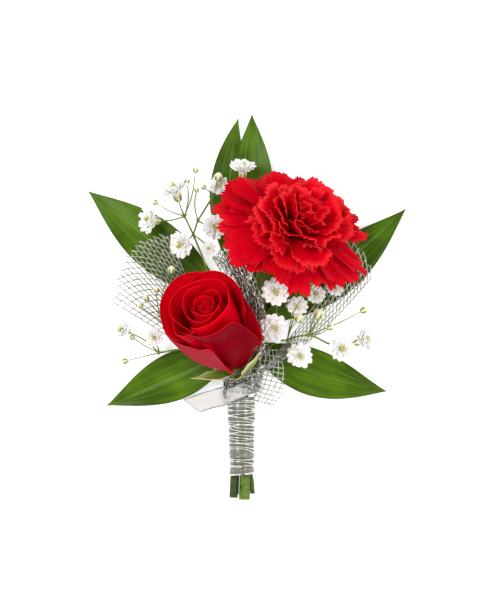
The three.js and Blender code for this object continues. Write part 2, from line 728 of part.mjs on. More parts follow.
// The net drawn together in folds round the tying point
function netGather() {
  const rows = 2;
  const folds = 8;
  const centre = vec(HANDLE_TOP);
  const spots = [];
  const faces = [];
  const around = 2 * folds;
  const foot = [-35.7, -33.6, -31.5];
  const radii = [4.1, 4.3, 4.5];
  for (let i = 0; i <= rows; i += 1) {
    for (let k = 0; k < around; k += 1) {
      const angle = (2 * Math.PI * k) / around;
      const wave = k % 2 === 0 ? 0.55 : -0.25;
      for (const wall of [0.35, -0.35]) {
        const radius = radii[i] + wave + wall;
        spots.push(centre.x + radius * Math.cos(angle), foot[i], 7 + radius * Math.sin(angle));
      }
    }
  }
  const at = (i, k) => 2 * (i * around + (k % around));
  for (let i = 0; i < rows; i += 1) {
    for (let k = 0; k < around; k += 1) {
      const a = at(i, k);
      const b = at(i, k + 1);
      const c = at(i + 1, k + 1);
      const d = at(i + 1, k);
      faces.push(a, c, b, a, d, c);
      faces.push(a + 1, b + 1, c + 1, a + 1, c + 1, d + 1);
    }
  }
  for (let k = 0; k < around; k += 1) {
    const a = at(0, k);
    const b = at(0, k + 1);
    faces.push(a, b, b + 1, a, b + 1, a + 1);
    const c = at(rows, k);
    const d = at(rows, k + 1);
    faces.push(c, d + 1, d, c, c + 1, d + 1);
  }
  return toSolid(solidFrom(spots, faces));
}

// The crumpled net that stands between the two flowers
function crumplePoint(u, v) {
  const path = new THREE.CatmullRomCurve3([
    vec([3.8, -21, 12.2]),
    vec([4.4, -10, 15]),
    vec([1.6, 4, 17]),
    vec([-4.4, 14, 17]),
    vec([-10.4, 20.6, 15.6]),
  ]);
  const spot = path.getPoint(u);
  const run = path.getTangent(u);
  const across = new THREE.Vector3(-run.y, run.x, 0).normalize();
  const half = 2 + 2.6 * smooth(2 * u);
  spot.addScaledVector(across, -half * v * 0.75);
  spot.z += half * v * 0.6 + 0.7 * Math.sin(9 * u + 2 * v);
  return spot;
}

// Sheer ribbon: a band round the gathers and one tail with a slanting cut
function sheerRibbon() {
  const band = turned([[6.15, -3], [6.75, -3], [6.75, 3], [6.15, 3], [6.15, -3]], 14);
  const place = [-2.6, -33, 7.05];
  const tail = blade((u, v) => {
    const x = -8.7 - (14.4 - 3.2 * v) * u;
    const y = -35.2 + (3.6 - 0.4 * u) * v + (-2 - 0.4 * v) * u;
    return new THREE.Vector3(x, y, 6.6 - 2.6 * u + 0.7 * Math.sin(5 * u));
  }, 6, 2, RIBBON_THICK);
  return fuse([aimed(band, place, [0.12, 0.99, 0]), tail]);
}

// The wrapping: a tapering sleeve round the stems that ends in a rolled collar
function handleTape() {
  const top = vec(HANDLE_TOP);
  const end = vec(HANDLE_END);
  const look = top.clone().sub(end);
  const length = look.length();
  const inTop = TAPE_TOP_RADIUS - TAPE_WALL;
  const inEnd = TAPE_END_RADIUS - TAPE_WALL;
  const shoulder = COLLAR_LENGTH + 0.8;
  const outline = [
    [inEnd, 0],
    [COLLAR_RADIUS - 0.5, 0],
    [COLLAR_RADIUS, 0.5],
    [COLLAR_RADIUS, COLLAR_LENGTH],
    [TAPE_END_RADIUS, shoulder],
    [TAPE_TOP_RADIUS, length],
    [inTop, length],
    [inEnd, 0],
  ];
  const sleeve = aimed(turned(outline, 16), HANDLE_END, look.normalize().toArray());
  return pressedOnTable(toSolid(sleeve));
}

// Silver wire wound down the handle, each turn leaning a little
function silverWire() {
  const top = vec(HANDLE_TOP);
  const end = vec(HANDLE_END);
  const down = end.clone().sub(top);
  const length = down.length();
  const way = down.clone().normalize();
  const up = new THREE.Vector3(0, 0, 1).addScaledVector(way, -way.z).normalize();
  const side = way.clone().cross(up);
  const first = 0.9 / length;
  const last = 1 - (COLLAR_LENGTH + 1.6) / length;
  const points = [];
  const perTurn = WIRE_SIDES_PER_TURN;
  const count = WIRE_TURNS * perTurn;
  for (let k = 0; k <= count; k += 1) {
    const angle = (2 * Math.PI * k) / perTurn;
    const turn = Math.floor(k / perTurn);
    const share = first + (last - first) * (k / count);
    const lean = 0.28 * Math.sin(angle + 0.35 * turn);
    const tape = TAPE_TOP_RADIUS + (TAPE_END_RADIUS - TAPE_TOP_RADIUS) * share;
    const radius = tape + WIRE_GAP + WIRE_RADIUS;
    const spot = top.clone().addScaledVector(way, share * length + lean);
    spot.addScaledVector(up, radius * Math.sin(angle)).addScaledVector(side, radius * Math.cos(angle));
    points.push(spot.toArray());
  }
  return toSolid(stalk(points, WIRE_RADIUS, 4, count));
}

function plantMaterial(name, color, roughness) {
  return new THREE.MeshStandardMaterial({ name, color, roughness, metalness: 0 });
}

function petalRed() {
  return plantMaterial("rose_red", 0xb00a1e, 0.55);
}

function carnationRed() {
  return plantMaterial("carnation_red", 0xd8141c, 0.6);
}

function roseStemGreen() {
  return plantMaterial("rose_stem_green", 0x6f8a4a, 0.6);
}

function carnationStemGreen() {
  return plantMaterial("carnation_stem_green", 0x5c7d4c, 0.6);
}

function leafGreen() {
  return plantMaterial("ruscus_green", 0x2f6a20, 0.35);
}

function floretWhite() {
  return plantMaterial("floret_white", 0xf1f0ea, 0.7);
}

function metalMaterial(name, color, roughness) {
  return new THREE.MeshStandardMaterial({ name, color, roughness, metalness: 1 });
}

function netSilver() {
  return metalMaterial("net_silver", 0xc4c4c6, 0.3);
}

function wireSilver() {
  return metalMaterial("wire_silver", 0xd6d6da, 0.2);
}

function wovenMaterial(name, color) {
  return new THREE.MeshStandardMaterial({ name, color, roughness: 0.5, metalness: 0 });
}

function sheerWhite() {
  return wovenMaterial("sheer_white", 0xf0f0f2);
}

function tapeGrey() {
  return wovenMaterial("tape_grey", 0xb9b9bc);
}

const boutonniere = new THREE.Group();
boutonniere.name = "boutonniere";

function place(name, solid, material) {
  const mesh = new THREE.Mesh(fromSolid(solid), material);
  mesh.name = name;
  boutonniere.add(mesh);
}

place("rose_bloom", roseBloom(), petalRed());
place("rose_stem", roseStem(), roseStemGreen());
place("carnation_bloom", carnationBloom(), carnationRed());
place("carnation_stem", carnationStem(), carnationStemGreen());
place("ruscus_sprig", ruscusSprig(), leafGreen());
place("gypsophila_spray_upper", upperSpray(), floretWhite());
place("gypsophila_spray_left", leftSpray(), floretWhite());
place("gypsophila_spray_right", rightSpray(), floretWhite());
place("net_left", toSolid(net(netFan(LEFT_NET), 8, 6)), netSilver());
place("net_right", toSolid(net(netFan(RIGHT_NET), 9, 3)), netSilver());
place("net_lower", toSolid(net(netFan(LOWER_NET), 3, 5)), netSilver());
place("net_crumple", toSolid(net(crumplePoint, 7, 2)), netSilver());
place("net_gather", netGather(), netSilver());
place("sheer_ribbon", sheerRibbon(), sheerWhite());
place("handle_tape", handleTape(), tapeGrey());
place("silver_wire", silverWire(), wireSilver());

export default boutonniere;
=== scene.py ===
from functools import partial

import bpy
import numpy as np
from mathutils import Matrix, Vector


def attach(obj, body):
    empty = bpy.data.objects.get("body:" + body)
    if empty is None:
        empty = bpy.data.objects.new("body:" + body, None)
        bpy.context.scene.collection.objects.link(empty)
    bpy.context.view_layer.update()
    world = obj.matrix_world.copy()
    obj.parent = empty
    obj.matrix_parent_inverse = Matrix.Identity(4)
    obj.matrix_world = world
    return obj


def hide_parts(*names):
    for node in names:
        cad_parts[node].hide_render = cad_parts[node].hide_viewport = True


# A boutonniere lying on its back: every grown, woven and wound piece is made here in fine mesh
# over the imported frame. Sizes are in millimetres and turn to metres where a mesh is made.
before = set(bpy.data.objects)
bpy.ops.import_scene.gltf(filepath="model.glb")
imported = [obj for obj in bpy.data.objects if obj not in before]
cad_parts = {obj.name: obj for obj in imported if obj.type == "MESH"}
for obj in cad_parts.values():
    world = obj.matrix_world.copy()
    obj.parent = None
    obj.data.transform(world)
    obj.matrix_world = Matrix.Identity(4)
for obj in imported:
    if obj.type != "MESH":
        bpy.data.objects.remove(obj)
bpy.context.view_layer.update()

MM = 0.001
rng = np.random.default_rng(7)

# Thicknesses of what is grown, and sizes of what is woven and wound
LEAF_THICK = 0.5
ROSE_PETAL_THICK = 0.42
FRINGE_THICK = 0.34
FLORET_THICK = 0.2
NET_PITCH = 2.1
NET_THREAD = 0.46
RIBBON_THICK = 0.16
RIBBON_EDGE_RADIUS = 0.22
TWIG_RADIUS = 0.3
BUD_RIBS = 5
# Bunched net is drawn with a wider mesh, as its threads lie over one another
BUNCHED_PITCH = 3.1

# The handle: a tapering bundle of stems, its wrapping and the wire wound on it
HANDLE_TOP = np.array([-2.3, -36.2, 6.8])
HANDLE_END = np.array([-2.0, -66.8, 5.2])
STEM_CUT_Y = -77
TAPE_TOP_RADIUS = 5.7
TAPE_END_RADIUS = 4.7
WIRE_RADIUS = 0.22
WIRE_TURNS = 25
# The wire's turns lie in two groups with a bare stretch between them: where each group starts along
# the handle, how far apart its turns lie, and how many turns the first one has
FIRST_TURNS_Y = -36.8
FIRST_PITCH = 0.94
FIRST_TURNS = 21
SECOND_TURNS_Y = -56.5
SECOND_PITCH = 1.1
BARE_STRETCH = 4.2

# Where each stem runs inside the handle, across and up from its axis, and how thick it is
ROSE_LANE = {"across": -1.7, "up": 0.5, "radius": 1.1}
CARNATION_LANE = {"across": 1.6, "up": 0.5, "radius": 1.25}
RUSCUS_LANE = {"across": 0, "up": -1.95, "radius": 0.9}
UPPER_LANE = {"across": 0, "up": 2.5, "radius": 0.55}
LEFT_LANE = {"across": -1.85, "up": -1.5, "radius": 0.55}
RIGHT_LANE = {"across": 1.75, "up": -1.65, "radius": 0.55}

# The rose: foot of the bloom, the way it looks, and its size
ROSE_FOOT = [-3.9, -23.2, 13]
ROSE_LOOK = [-0.335, 0.63, 0.7]
ROSE_HEIGHT = 42
ROSE_RADIUS = 18.4

# The carnation: foot of the bloom and the way it looks, and the green cup below it
CARNATION_FOOT = [15.4, 27, 22.4]
CARNATION_LOOK = [0.417, 0.556, 0.719]
CUP_FOOT = np.array([5.8, 3.6, 8])
CUP_MOUTH = np.array([13.4, 27, 22.4])
CUP_RADIUS = 5.4

# The picture's middle on the table, what its long side covers at the height VIEW_LEVEL, and the lens
VIEW_MIDDLE = (-2.8, 3.0)
VIEW_HEIGHT = 240
VIEW_LEVEL = 6
CAMERA_DISTANCE = 1500
SENSOR = 36
# Width of the soft boxes and half the table's width, in metres
SOFT_BOX_SIZE = 0.42
TABLE_HALF = 3


# Numbers and shapes
def table(names, *rows):
    """Each row as a dict under the given names."""
    return [dict(zip(names.split(), row)) for row in rows]


def unit(a):
    return a / np.maximum(np.linalg.norm(a, axis=-1, keepdims=True), 1e-9)


def smooth(t):
    s = np.clip(t, 0, 1)
    return s * s * (3 - 2 * s)


def curve(points, count):
    """A smooth line of count points through the given ones, centripetal so that it has no loops."""
    p = np.array(points, float)
    p = np.vstack([2 * p[0] - p[1], p, 2 * p[-1] - p[-2]])
    steps = np.sqrt(np.linalg.norm(np.diff(p, axis=0), axis=1))
    t = np.concatenate([[0], np.cumsum(steps)])
    asked = np.linspace(t[1], t[-2], count)
    k = np.clip(np.searchsorted(t, asked, side="right") - 1, 1, len(p) - 3)

    def between(a, b, first, last):
        share = ((asked - first) / (last - first))[:, None]
        return a * (1 - share) + b * share

    a1 = between(p[k - 1], p[k], t[k - 1], t[k])
    a2 = between(p[k], p[k + 1], t[k], t[k + 1])
    a3 = between(p[k + 1], p[k + 2], t[k + 1], t[k + 2])
    b1 = between(a1, a2, t[k - 1], t[k + 1])
    b2 = between(a2, a3, t[k], t[k + 2])
    return between(b1, b2, t[k], t[k + 1])


class Shape:
    """Closed skins gathered into one mesh. lay is a point's place on its skin; tone is a value that the
    material turns into a colour of its own or, on carnation petals and net threads, into painted light or
    shade.
    """

    def __init__(self):
        self.points = []
        self.faces = []
        self.lay = []
        self.tone = []
        self.count = 0

    def add(self, points, faces, lay, tone=0.5):
        for block in faces:
            self.faces.extend((block + self.count).tolist())
        self.points.append(points)
        self.lay.append(lay)
        self.tone.append(np.broadcast_to(np.asarray(tone, float), len(points)))
        self.count += len(points)

    def piece(self, name, material, nodes, slot):
        mesh = bpy.data.meshes.new(name)
        mesh.from_pydata((np.concatenate(self.points) * MM).tolist(), [], self.faces)
        corner = np.empty(len(mesh.loops), dtype=np.int32)
        mesh.loops.foreach_get("vertex_index", corner)
        lay = mesh.uv_layers.new(name="lay")
        lay.data.foreach_set("uv", np.concatenate(self.lay)[corner].ravel())
        tone = mesh.attributes.new("tone", "FLOAT", "POINT")
        tone.data.foreach_set("value", np.concatenate(self.tone))
        mesh.polygons.foreach_set("use_smooth", [True] * len(mesh.polygons))
        mesh.materials.append(material)
        piece = bpy.data.objects.new(name, mesh)
        bpy.context.scene.collection.objects.link(piece)
        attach(piece, "root")
        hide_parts(*nodes)
        return piece


def grid_faces(rows, cols, wrap=False):
    i, j = np.meshgrid(np.arange(rows), np.arange(cols), indexing="ij")
    stride = cols if wrap else cols + 1
    a = i * stride + j
    d = i * stride + (j + 1) % stride
    return np.stack([a, a + stride, d + stride, d], axis=-1).reshape(-1, 4)


def blade(shape, point_at, rows, cols, thick, tone=(0.5, 0.5), thin_rim=0.5, rim_power=1.0):
    """A thin closed blade: u runs from root to rim, v from -1 to 1 across, thinner towards its edges.
    Its two faces have a tone each."""
    u = np.linspace(0, 1, rows + 1) ** rim_power
    u, v = np.meshgrid(u, np.linspace(-1, 1, cols + 1), indexing="ij")
    middle = point_at(u, v)
    normal = unit(np.cross(np.gradient(middle, axis=0), np.gradient(middle, axis=1)))
    edge = np.maximum(smooth(6 * u - 5), smooth(8 * np.abs(v) - 7))
    half = (0.5 * thick * (1 - thin_rim * edge))[..., None]
    points = np.concatenate([middle + half * normal, middle - half * normal]).reshape(-1, 3)
    under = (rows + 1) * (cols + 1)
    face = grid_faces(rows, cols)
    rim = np.concatenate([
        np.arange(0, rows + 1) * (cols + 1),
        rows * (cols + 1) + np.arange(1, cols + 1),
        np.arange(rows - 1, -1, -1) * (cols + 1) + cols,
        np.arange(cols - 1, 0, -1),
    ])
    after = np.roll(rim, -1)
    side = np.stack([rim, rim + under, after + under, after], axis=-1)
    lay = np.stack([u, 0.5 + 0.5 * v], axis=-1).reshape(-1, 2)
    shape.add(points, [face, (face + under)[:, ::-1], side], np.concatenate([lay, lay]),
              np.repeat(tone, under))


def close_rings(shape, points, ends, lay, end_lay, tone=0.5, way=-1):
    """A closed skin through rings of points, with a fan of faces over each end. Where the rings run
    the other way round, way is 1, so that the faces still look outward."""
    rows, sides = points.shape[:2]
    k = np.arange(sides)
    first = np.stack([k, (k + 1) % sides, np.full(sides, rows * sides)], axis=-1)[:, ::way]
    last = np.stack([k, (k + 1) % sides, np.full(sides, 1 + sides)], axis=-1)[:, ::-way]
    shape.add(np.concatenate([points.reshape(-1, 3), ends]),
              [grid_faces(rows - 1, sides, wrap=True)[:, ::way], first, last + (rows - 1) * sides],
              np.concatenate([np.stack(np.broadcast_arrays(*lay), axis=-1).reshape(-1, 2), end_lay]), tone)


def tube(shape, path, radius, sides=8, tone=0.5):
    """A round closed tube along the points of path; radius may change along it."""
    count = len(path)
    run = unit(np.gradient(path, axis=0))
    across = np.empty_like(run)
    start = np.array([0.0, 0, 1]) if abs(run[0][2]) < 0.9 else np.array([1.0, 0, 0])
    across[0] = unit(np.cross(run[0], start))
    for i in range(1, count):
        carried = across[i - 1] - run[i] * np.dot(across[i - 1], run[i])
        across[i] = unit(carried)
    up = np.cross(run, across)
    turn = np.linspace(0, 2 * np.pi, sides, endpoint=False)
    size = np.broadcast_to(np.asarray(radius, float), count)[:, None, None]
    ring = np.cos(turn)[None, :, None] * across[:, None] + np.sin(turn)[None, :, None] * up[:, None]
    along = np.concatenate([[0], np.cumsum(np.linalg.norm(np.diff(path, axis=0), axis=1))])
    if np.ndim(tone):
        tone = np.concatenate([np.repeat(tone, sides), [tone[0], tone[-1]]])
    close_rings(shape, path[:, None] + size * ring, path[[0, -1]],
                (along[:, None], (turn / (2 * np.pi))[None]), [[along[0], 0.5], [along[-1], 0.5]], tone)


def turned(shape, radius, height, sides, place, look, ridge=0.0, ridges=BUD_RIBS):
    """A body of revolution that looks along the given way, with soft ridges down its side."""
    height = np.asarray(height, float)
    turn = np.linspace(0, 2 * np.pi, sides, endpoint=False)
    bloom = bloom_frame(place, look)
    out = np.asarray(radius, float)[:, None] * (1 + ridge * np.cos(ridges * turn))
    way = np.cos(turn)[:, None] * bloom["front"] + np.sin(turn)[:, None] * bloom["side"]
    points = bloom["foot"] + height[:, None, None] * bloom["axis"] + out[..., None] * way[None]
    ends = bloom["foot"] + np.array([[height[0]], [height[-1]]]) * bloom["axis"]
    close_rings(shape, points, ends, (np.linspace(0, 1, len(radius))[:, None], (turn / (2 * np.pi))[None]),
                [[0, 0.5], [1, 0.5]])


def bloom_frame(foot, look):
    """Directions round a bloom: front rises from the table, side runs to the right."""
    axis = unit(np.array(look, float))
    front = unit(np.array([0, 0, 1.0]) - axis * axis[2])
    if abs(axis[2]) > 0.999:
        front = np.array([0, -1.0, 0])
    return {"foot": np.array(foot, float), "axis": axis, "front": front, "side": np.cross(axis, front)}


def outward(bloom, degrees):
    angle = np.radians(np.asarray(degrees, float))[..., None]
    return np.cos(angle) * bloom["front"] + np.sin(angle) * bloom["side"]


def bloom_point(bloom, way, up, out, aside=0.0):
    """A point by its height on the bloom's axis, its reach along way and its place to the side."""
    across = np.cross(bloom["axis"], way)
    spot = bloom["foot"] + up[..., None] * bloom["axis"] + out[..., None] * way
    return spot + np.asarray(aside)[..., None] * across


def lane_at(lane, share):
    spot = HANDLE_TOP + (HANDLE_END - HANDLE_TOP) * share
    return [spot[0] + lane["across"], spot[1], spot[2] + lane["up"]]


def lane_cut(lane, cut_y):
    return lane_at(lane, (cut_y - HANDLE_TOP[1]) / (HANDLE_END[1] - HANDLE_TOP[1]))


# Materials
def linear(colour):
    """An sRGB hex colour as linear red, green, blue and alpha."""
    parts = [int(colour[i:i + 2], 16) / 255 for i in (1, 3, 5)]
    return [c / 12.92 if c <= 0.04045 else ((c + 0.055) / 1.055) ** 2.4 for c in parts] + [1]


def add_node(tree, kind, inputs=None, out=None, **settings):
    """Adds a node with its settings and gives the output that is asked for, or else the first one in
    use. An input is a value, an sRGB hex colour or the output that feeds it."""
    made = tree.nodes.new("ShaderNode" + kind)
    for name, value in settings.items():
        setattr(made, name, value)
    for name, value in (inputs or {}).items():
        if isinstance(value, bpy.types.NodeSocket):
            tree.links.new(value, made.inputs[name])
        else:
            made.inputs[name].default_value = linear(value) if isinstance(value, str) else value
    return made.outputs[out] if out else next((socket for socket in made.outputs if socket.enabled), None)


def made_of(skin, name=None, *finish):
    """A material whose nodes skin adds; skin gives the shader."""
    material = bpy.data.materials.new(name or skin.__name__)
    material.use_nodes = True
    material.node_tree.nodes.clear()
    add = partial(add_node, material.node_tree)
    add("OutputMaterial", {"Surface": skin(add, *finish)})
    return material


# Settings that many nodes share
RGBA = {"data_type": "RGBA"}
EASED = {"interpolation_type": "SMOOTHSTEP"}
LAY = {"uv_map": "lay"}
TONE = {"attribute_name": "tone"}


def rose_petal_velvet(add):
    """Rose petal, grown: a velvety skin that glows deep red, with painted shade that darkens it towards the
    foot, deep in the bloom, and a painted highlight on its thin rim; the outer faces are duller and, on the
    oldest petals, pinker."""
    lay = add("UVMap", **LAY)
    along = add("SeparateXYZ", {0: lay})
    tone = add("Attribute", out="Fac", **TONE)
    # Painted shade: the colour darkens towards the petal's foot, deep in the bloom
    depth = add("MapRange", {0: along, 1: 0.2, 2: 0.75}, **EASED)
    stretched = add("Mapping", {0: lay, 3: (2.5, 26, 1)})
    vein = add("TexNoise", {"Vector": stretched, "Scale": 2.2, "Detail": 5})
    colour = add("Mix", {0: depth, 6: "#92000d", 7: "#c80016"}, **RGBA)
    outer = add("MapRange", {0: tone, 1: 0, 2: 0.5})
    old = add("MapRange", {0: tone, 1: 0.5, 2: 1})
    veined = add("MapRange", {0: vein, 1: 0.4, 2: 0.75, 3: 0, 4: 0.12})
    # Painted highlight: a brighter thin line along the rim
    rim = add("MapRange", {0: along, 1: 0.975, 2: 1.0, 3: 0, 4: 0.28}, **EASED)
    for share, tint in ((outer, "#72000f"), (old, "#a02634"), (veined, "#d00c24"), (rim, "#f02a38")):
        colour = add("Mix", {0: share, 6: colour, 7: tint}, **RGBA)
    bump = add("Bump", {"Height": vein, "Strength": 0.1, "Distance": 0.0003})
    return add("BsdfPrincipled", {
        "Base Color": colour, "Roughness": 0.55, "IOR": 1.42, "Normal": bump,
        "Specular IOR Level": 0.02, "Specular Tint": "#ff4048",
        "Sheen Weight": 0.02, "Sheen Roughness": 0.4, "Sheen Tint": "#ff2038",
        "Subsurface Weight": 0.12, "Subsurface Radius": (1.0, 0.03, 0.03), "Subsurface Scale": 0.0012})


def carnation_petal_crepe(add):
    """Carnation petal, grown: a thin crinkled scarlet skin, matt, with painted shade towards its foot;
    where tone is high, as in the crown, the body is painted brighter and the fringed rim carries a painted
    highlight."""
    lay = add("UVMap", **LAY)
    along = add("SeparateXYZ", {0: lay})
    tone = add("Attribute", out="Fac", **TONE)
    # Painted shade: the body darkens towards the petal's foot, deep in the bloom
    depth = add("MapRange", {0: along, 1: 0.25, 2: 0.9}, **EASED)
    stretched = add("Mapping", {0: lay, 3: (2, 40, 1)})
    vein = add("TexNoise", {"Vector": stretched, "Scale": 2.0, "Detail": 4})
    body = add("Mix", {0: depth, 6: "#90000c", 7: "#b60016"}, **RGBA)
    # Painted light: a high tone brightens the body, on the crown's petals more than on the well-lit guard
    # petals
    shade = add("Mix", {0: tone, 6: body, 7: "#cc0019"}, **RGBA)
    # Painted highlight along the fringed rim, as strong as the tone
    rim_highlight_share = add("MapRange", {0: along, 1: 0.89, 2: 1.0, 3: 0, 4: 1.0}, **EASED)
    rim = add("Math", {0: rim_highlight_share, 1: tone}, operation="MULTIPLY")
    colour = add("Mix", {0: rim, 6: shade, 7: "#f03236"}, **RGBA)
    bump = add("Bump", {"Height": vein, "Strength": 0.16, "Distance": 0.0003})
    return add("BsdfPrincipled", {
        "Base Color": colour, "Roughness": 0.55, "IOR": 1.42, "Normal": bump,
        "Specular IOR Level": 0.07, "Specular Tint": "#ff6060",
        "Sheen Weight": 0.03, "Sheen Roughness": 0.5, "Sheen Tint": "#ff2a2a",
        "Subsurface Weight": 0.1, "Subsurface Radius": (1.0, 0.04, 0.03), "Subsurface Scale": 0.001})


def ruscus_leaf_waxed(add):
    """Ruscus leaf, grown: a leathery waxy blade with fine veins that run from root to tip, and painted
    sheen in lighter streaks along it.
    """
    lay = add("UVMap", **LAY)
    across = add("SeparateXYZ", {0: lay}, out="Y")
    spot = add("TexCoord", out="Object")
    # Veins lie about 0.8 mm apart on a blade 20 mm wide
    veins = add("Mapping", {0: lay, 3: (1.2, 25, 1)})
    vein = add("TexNoise", {"Vector": veins, "Scale": 1.6, "Detail": 5, "Roughness": 0.6})
    patch = add("TexNoise", {"Vector": spot, "Scale": 90, "Detail": 3})
    # Painted sheen: broad lighter and darker streaks along the blade, mixed into its colour with the random
    # mottle
    sheen_streaks = add("Mapping", {0: lay, 3: (1.6, 5.5, 1)})
    sheen_streak = add("TexNoise", {"Vector": sheen_streaks, "Scale": 1.4, "Detail": 4})
    both = add("Math", {0: patch, 1: sheen_streak}, operation="ADD")
    mottle_and_sheen = add("MapRange", {0: both, 1: 0.8, 2: 1.25})
    colour = add("Mix", {0: mottle_and_sheen, 6: "#2c4600", 7: "#4d6f02"}, **RGBA)
    lined = add("MapRange", {0: vein, 1: 0.42, 2: 0.66, 3: 0, 4: 0.3})
    middle = add("Math", {0: across, 1: 0.5}, operation="SUBTRACT")
    off = add("Math", {0: middle}, operation="ABSOLUTE")
    rib = add("MapRange", {0: off, 1: 0.0, 2: 0.03, 3: 0.5, 4: 0})
    edge = add("MapRange", {0: off, 1: 0.47, 2: 0.5, 3: 0, 4: 0.6})
    for share, tint in ((lined, "#688a24"), (rib, "#6c8e38"), (edge, "#2c4808")):
        colour = add("Mix", {0: share, 6: colour, 7: tint}, **RGBA)
    bump = add("Bump", {"Height": vein, "Strength": 0.35, "Distance": 0.0003})
    gloss = add("MapRange", {0: vein, 1: 0.3, 2: 0.7, 3: 0.3, 4: 0.5})
    return add("BsdfPrincipled", {
        "Base Color": colour, "Roughness": gloss, "IOR": 1.45, "Normal": bump,
        "Specular IOR Level": 0.1, "Coat Weight": 0.06, "Coat Roughness": 0.22,
        "Subsurface Weight": 0.06, "Subsurface Radius": (0.3, 1.0, 0.1), "Subsurface Scale": 0.0008})


def green_skin(add, dark, light, mottle):
    """Green stem or cup, grown: a dull waxy skin, mottled along its length. mottle is in millimetres."""
    spot = add("TexCoord", out="Object")
    noise = add("TexNoise", {"Vector": spot, "Scale": 1000 / mottle, "Detail": 4})
    tone = add("Attribute", out="Fac", **TONE)
    spread = add("MapRange", {0: noise, 1: 0.3, 2: 0.7})
    body = add("Mix", {0: spread, 6: dark, 7: light}, **RGBA)
    # Tone 1 marks a fresh cut or a pale rim
    pale = add("MapRange", {0: tone, 1: 0.6, 2: 1.0})
    colour = add("Mix", {0: pale, 6: body, 7: "#cfd6a0"}, **RGBA)
    bump = add("Bump", {"Height": noise, "Strength": 0.2, "Distance": 0.0002})
    return add("BsdfPrincipled", {
        "Base Color": colour, "Roughness": 0.5, "IOR": 1.42, "Normal": bump, "Specular IOR Level": 0.3,
        "Subsurface Weight": 0.08, "Subsurface Radius": (0.4, 1.0, 0.2), "Subsurface Scale": 0.0006})


def sepal_skin(add):
    """Sepal, grown: a dull olive skin that pales to cream along its edges and towards its tip."""
    along = add("SeparateXYZ", {0: add("UVMap", **LAY)})
    spot = add("TexCoord", out="Object")
    noise = add("TexNoise", {"Vector": spot, "Scale": 700, "Detail": 4})
    middle = add("Math", {0: along.node.outputs["Y"], 1: 0.5}, operation="SUBTRACT")
    off = add("Math", {0: middle}, operation="ABSOLUTE")
    edge = add("MapRange", {0: off, 1: 0.35, 2: 0.48})
    tip = add("MapRange", {0: along, 1: 0.5, 2: 1.0, 3: 0, 4: 0.6})
    pale = add("Math", {0: edge, 1: tip}, operation="MAXIMUM")
    body = add("Mix", {0: noise, 6: "#4c5c0c", 7: "#74822c"}, **RGBA)
    colour = add("Mix", {0: pale, 6: body, 7: "#c2be88"}, **RGBA)
    bump = add("Bump", {"Height": noise, "Strength": 0.2, "Distance": 0.0002})
    return add("BsdfPrincipled", {
        "Base Color": colour, "Roughness": 0.55, "IOR": 1.42, "Normal": bump, "Specular IOR Level": 0.3})


def pollen_eye(add):
    """The stamens in an open floret: small matt yellow-green knobs."""
    spot = add("TexCoord", out="Object")
    noise = add("TexNoise", {"Vector": spot, "Scale": 900, "Detail": 2})
    colour = add("Mix", {0: noise, 6: "#8f9a28", 7: "#d8d070"}, **RGBA)
    return add("BsdfPrincipled", {
        "Base Color": colour, "Roughness": 0.7, "IOR": 1.4, "Specular IOR Level": 0.2})


def floret_petal_paper(add):
    """Baby's breath petal, grown: thin papery white that lets light through, faintly yellow-green where
    it leaves the cup."""
    lay = add("UVMap", **LAY)
    along = add("SeparateXYZ", {0: lay})
    tone = add("Attribute", out="Fac", **TONE)
    foot = add("MapRange", {0: along, 1: 0.1, 2: 0.5, 3: 0.8, 4: 0}, **EASED)
    white = add("Mix", {0: tone, 6: "#ffffff", 7: "#fbf5ea"}, **RGBA)
    colour = add("Mix", {0: foot, 6: white, 7: "#e4e4a8"}, **RGBA)
    stretched = add("Mapping", {0: lay, 3: (2, 12, 1)})
    vein = add("TexNoise", {"Vector": stretched, "Scale": 2, "Detail": 3})
    bump = add("Bump", {"Height": vein, "Strength": 0.3, "Distance": 0.0002})
    shader = add("BsdfPrincipled", {
        "Base Color": colour, "Roughness": 0.65, "IOR": 1.4, "Normal": bump, "Specular IOR Level": 0.3})
    through = add("BsdfTranslucent", {"Color": colour})
    return add("MixShader", {0: 0.32, 1: shader, 2: through})


def bud_striped(add):
    """Baby's breath bud, grown: a green cup with cream between its ribs."""
    along = add("SeparateXYZ", {0: add("UVMap", **LAY)})
    turns = add("Math", {0: along.node.outputs["Y"], 1: BUD_RIBS * 2 * np.pi}, operation="MULTIPLY")
    stripe = add("Math", {0: turns}, operation="COSINE")
    cream = add("MapRange", {0: stripe, 1: -0.5, 2: 0.5})
    top = add("MapRange", {0: along, 1: 0.55, 2: 0.9})
    paler = add("Math", {0: cream, 1: top}, operation="MAXIMUM")
    colour = add("Mix", {0: paler, 6: "#76883c", 7: "#e6e2c0"}, **RGBA)
    return add("BsdfPrincipled", {
        "Base Color": colour, "Roughness": 0.55, "IOR": 1.42,
        "Subsurface Weight": 0.2, "Subsurface Radius": (0.8, 1.0, 0.5), "Subsurface Scale": 0.0005})


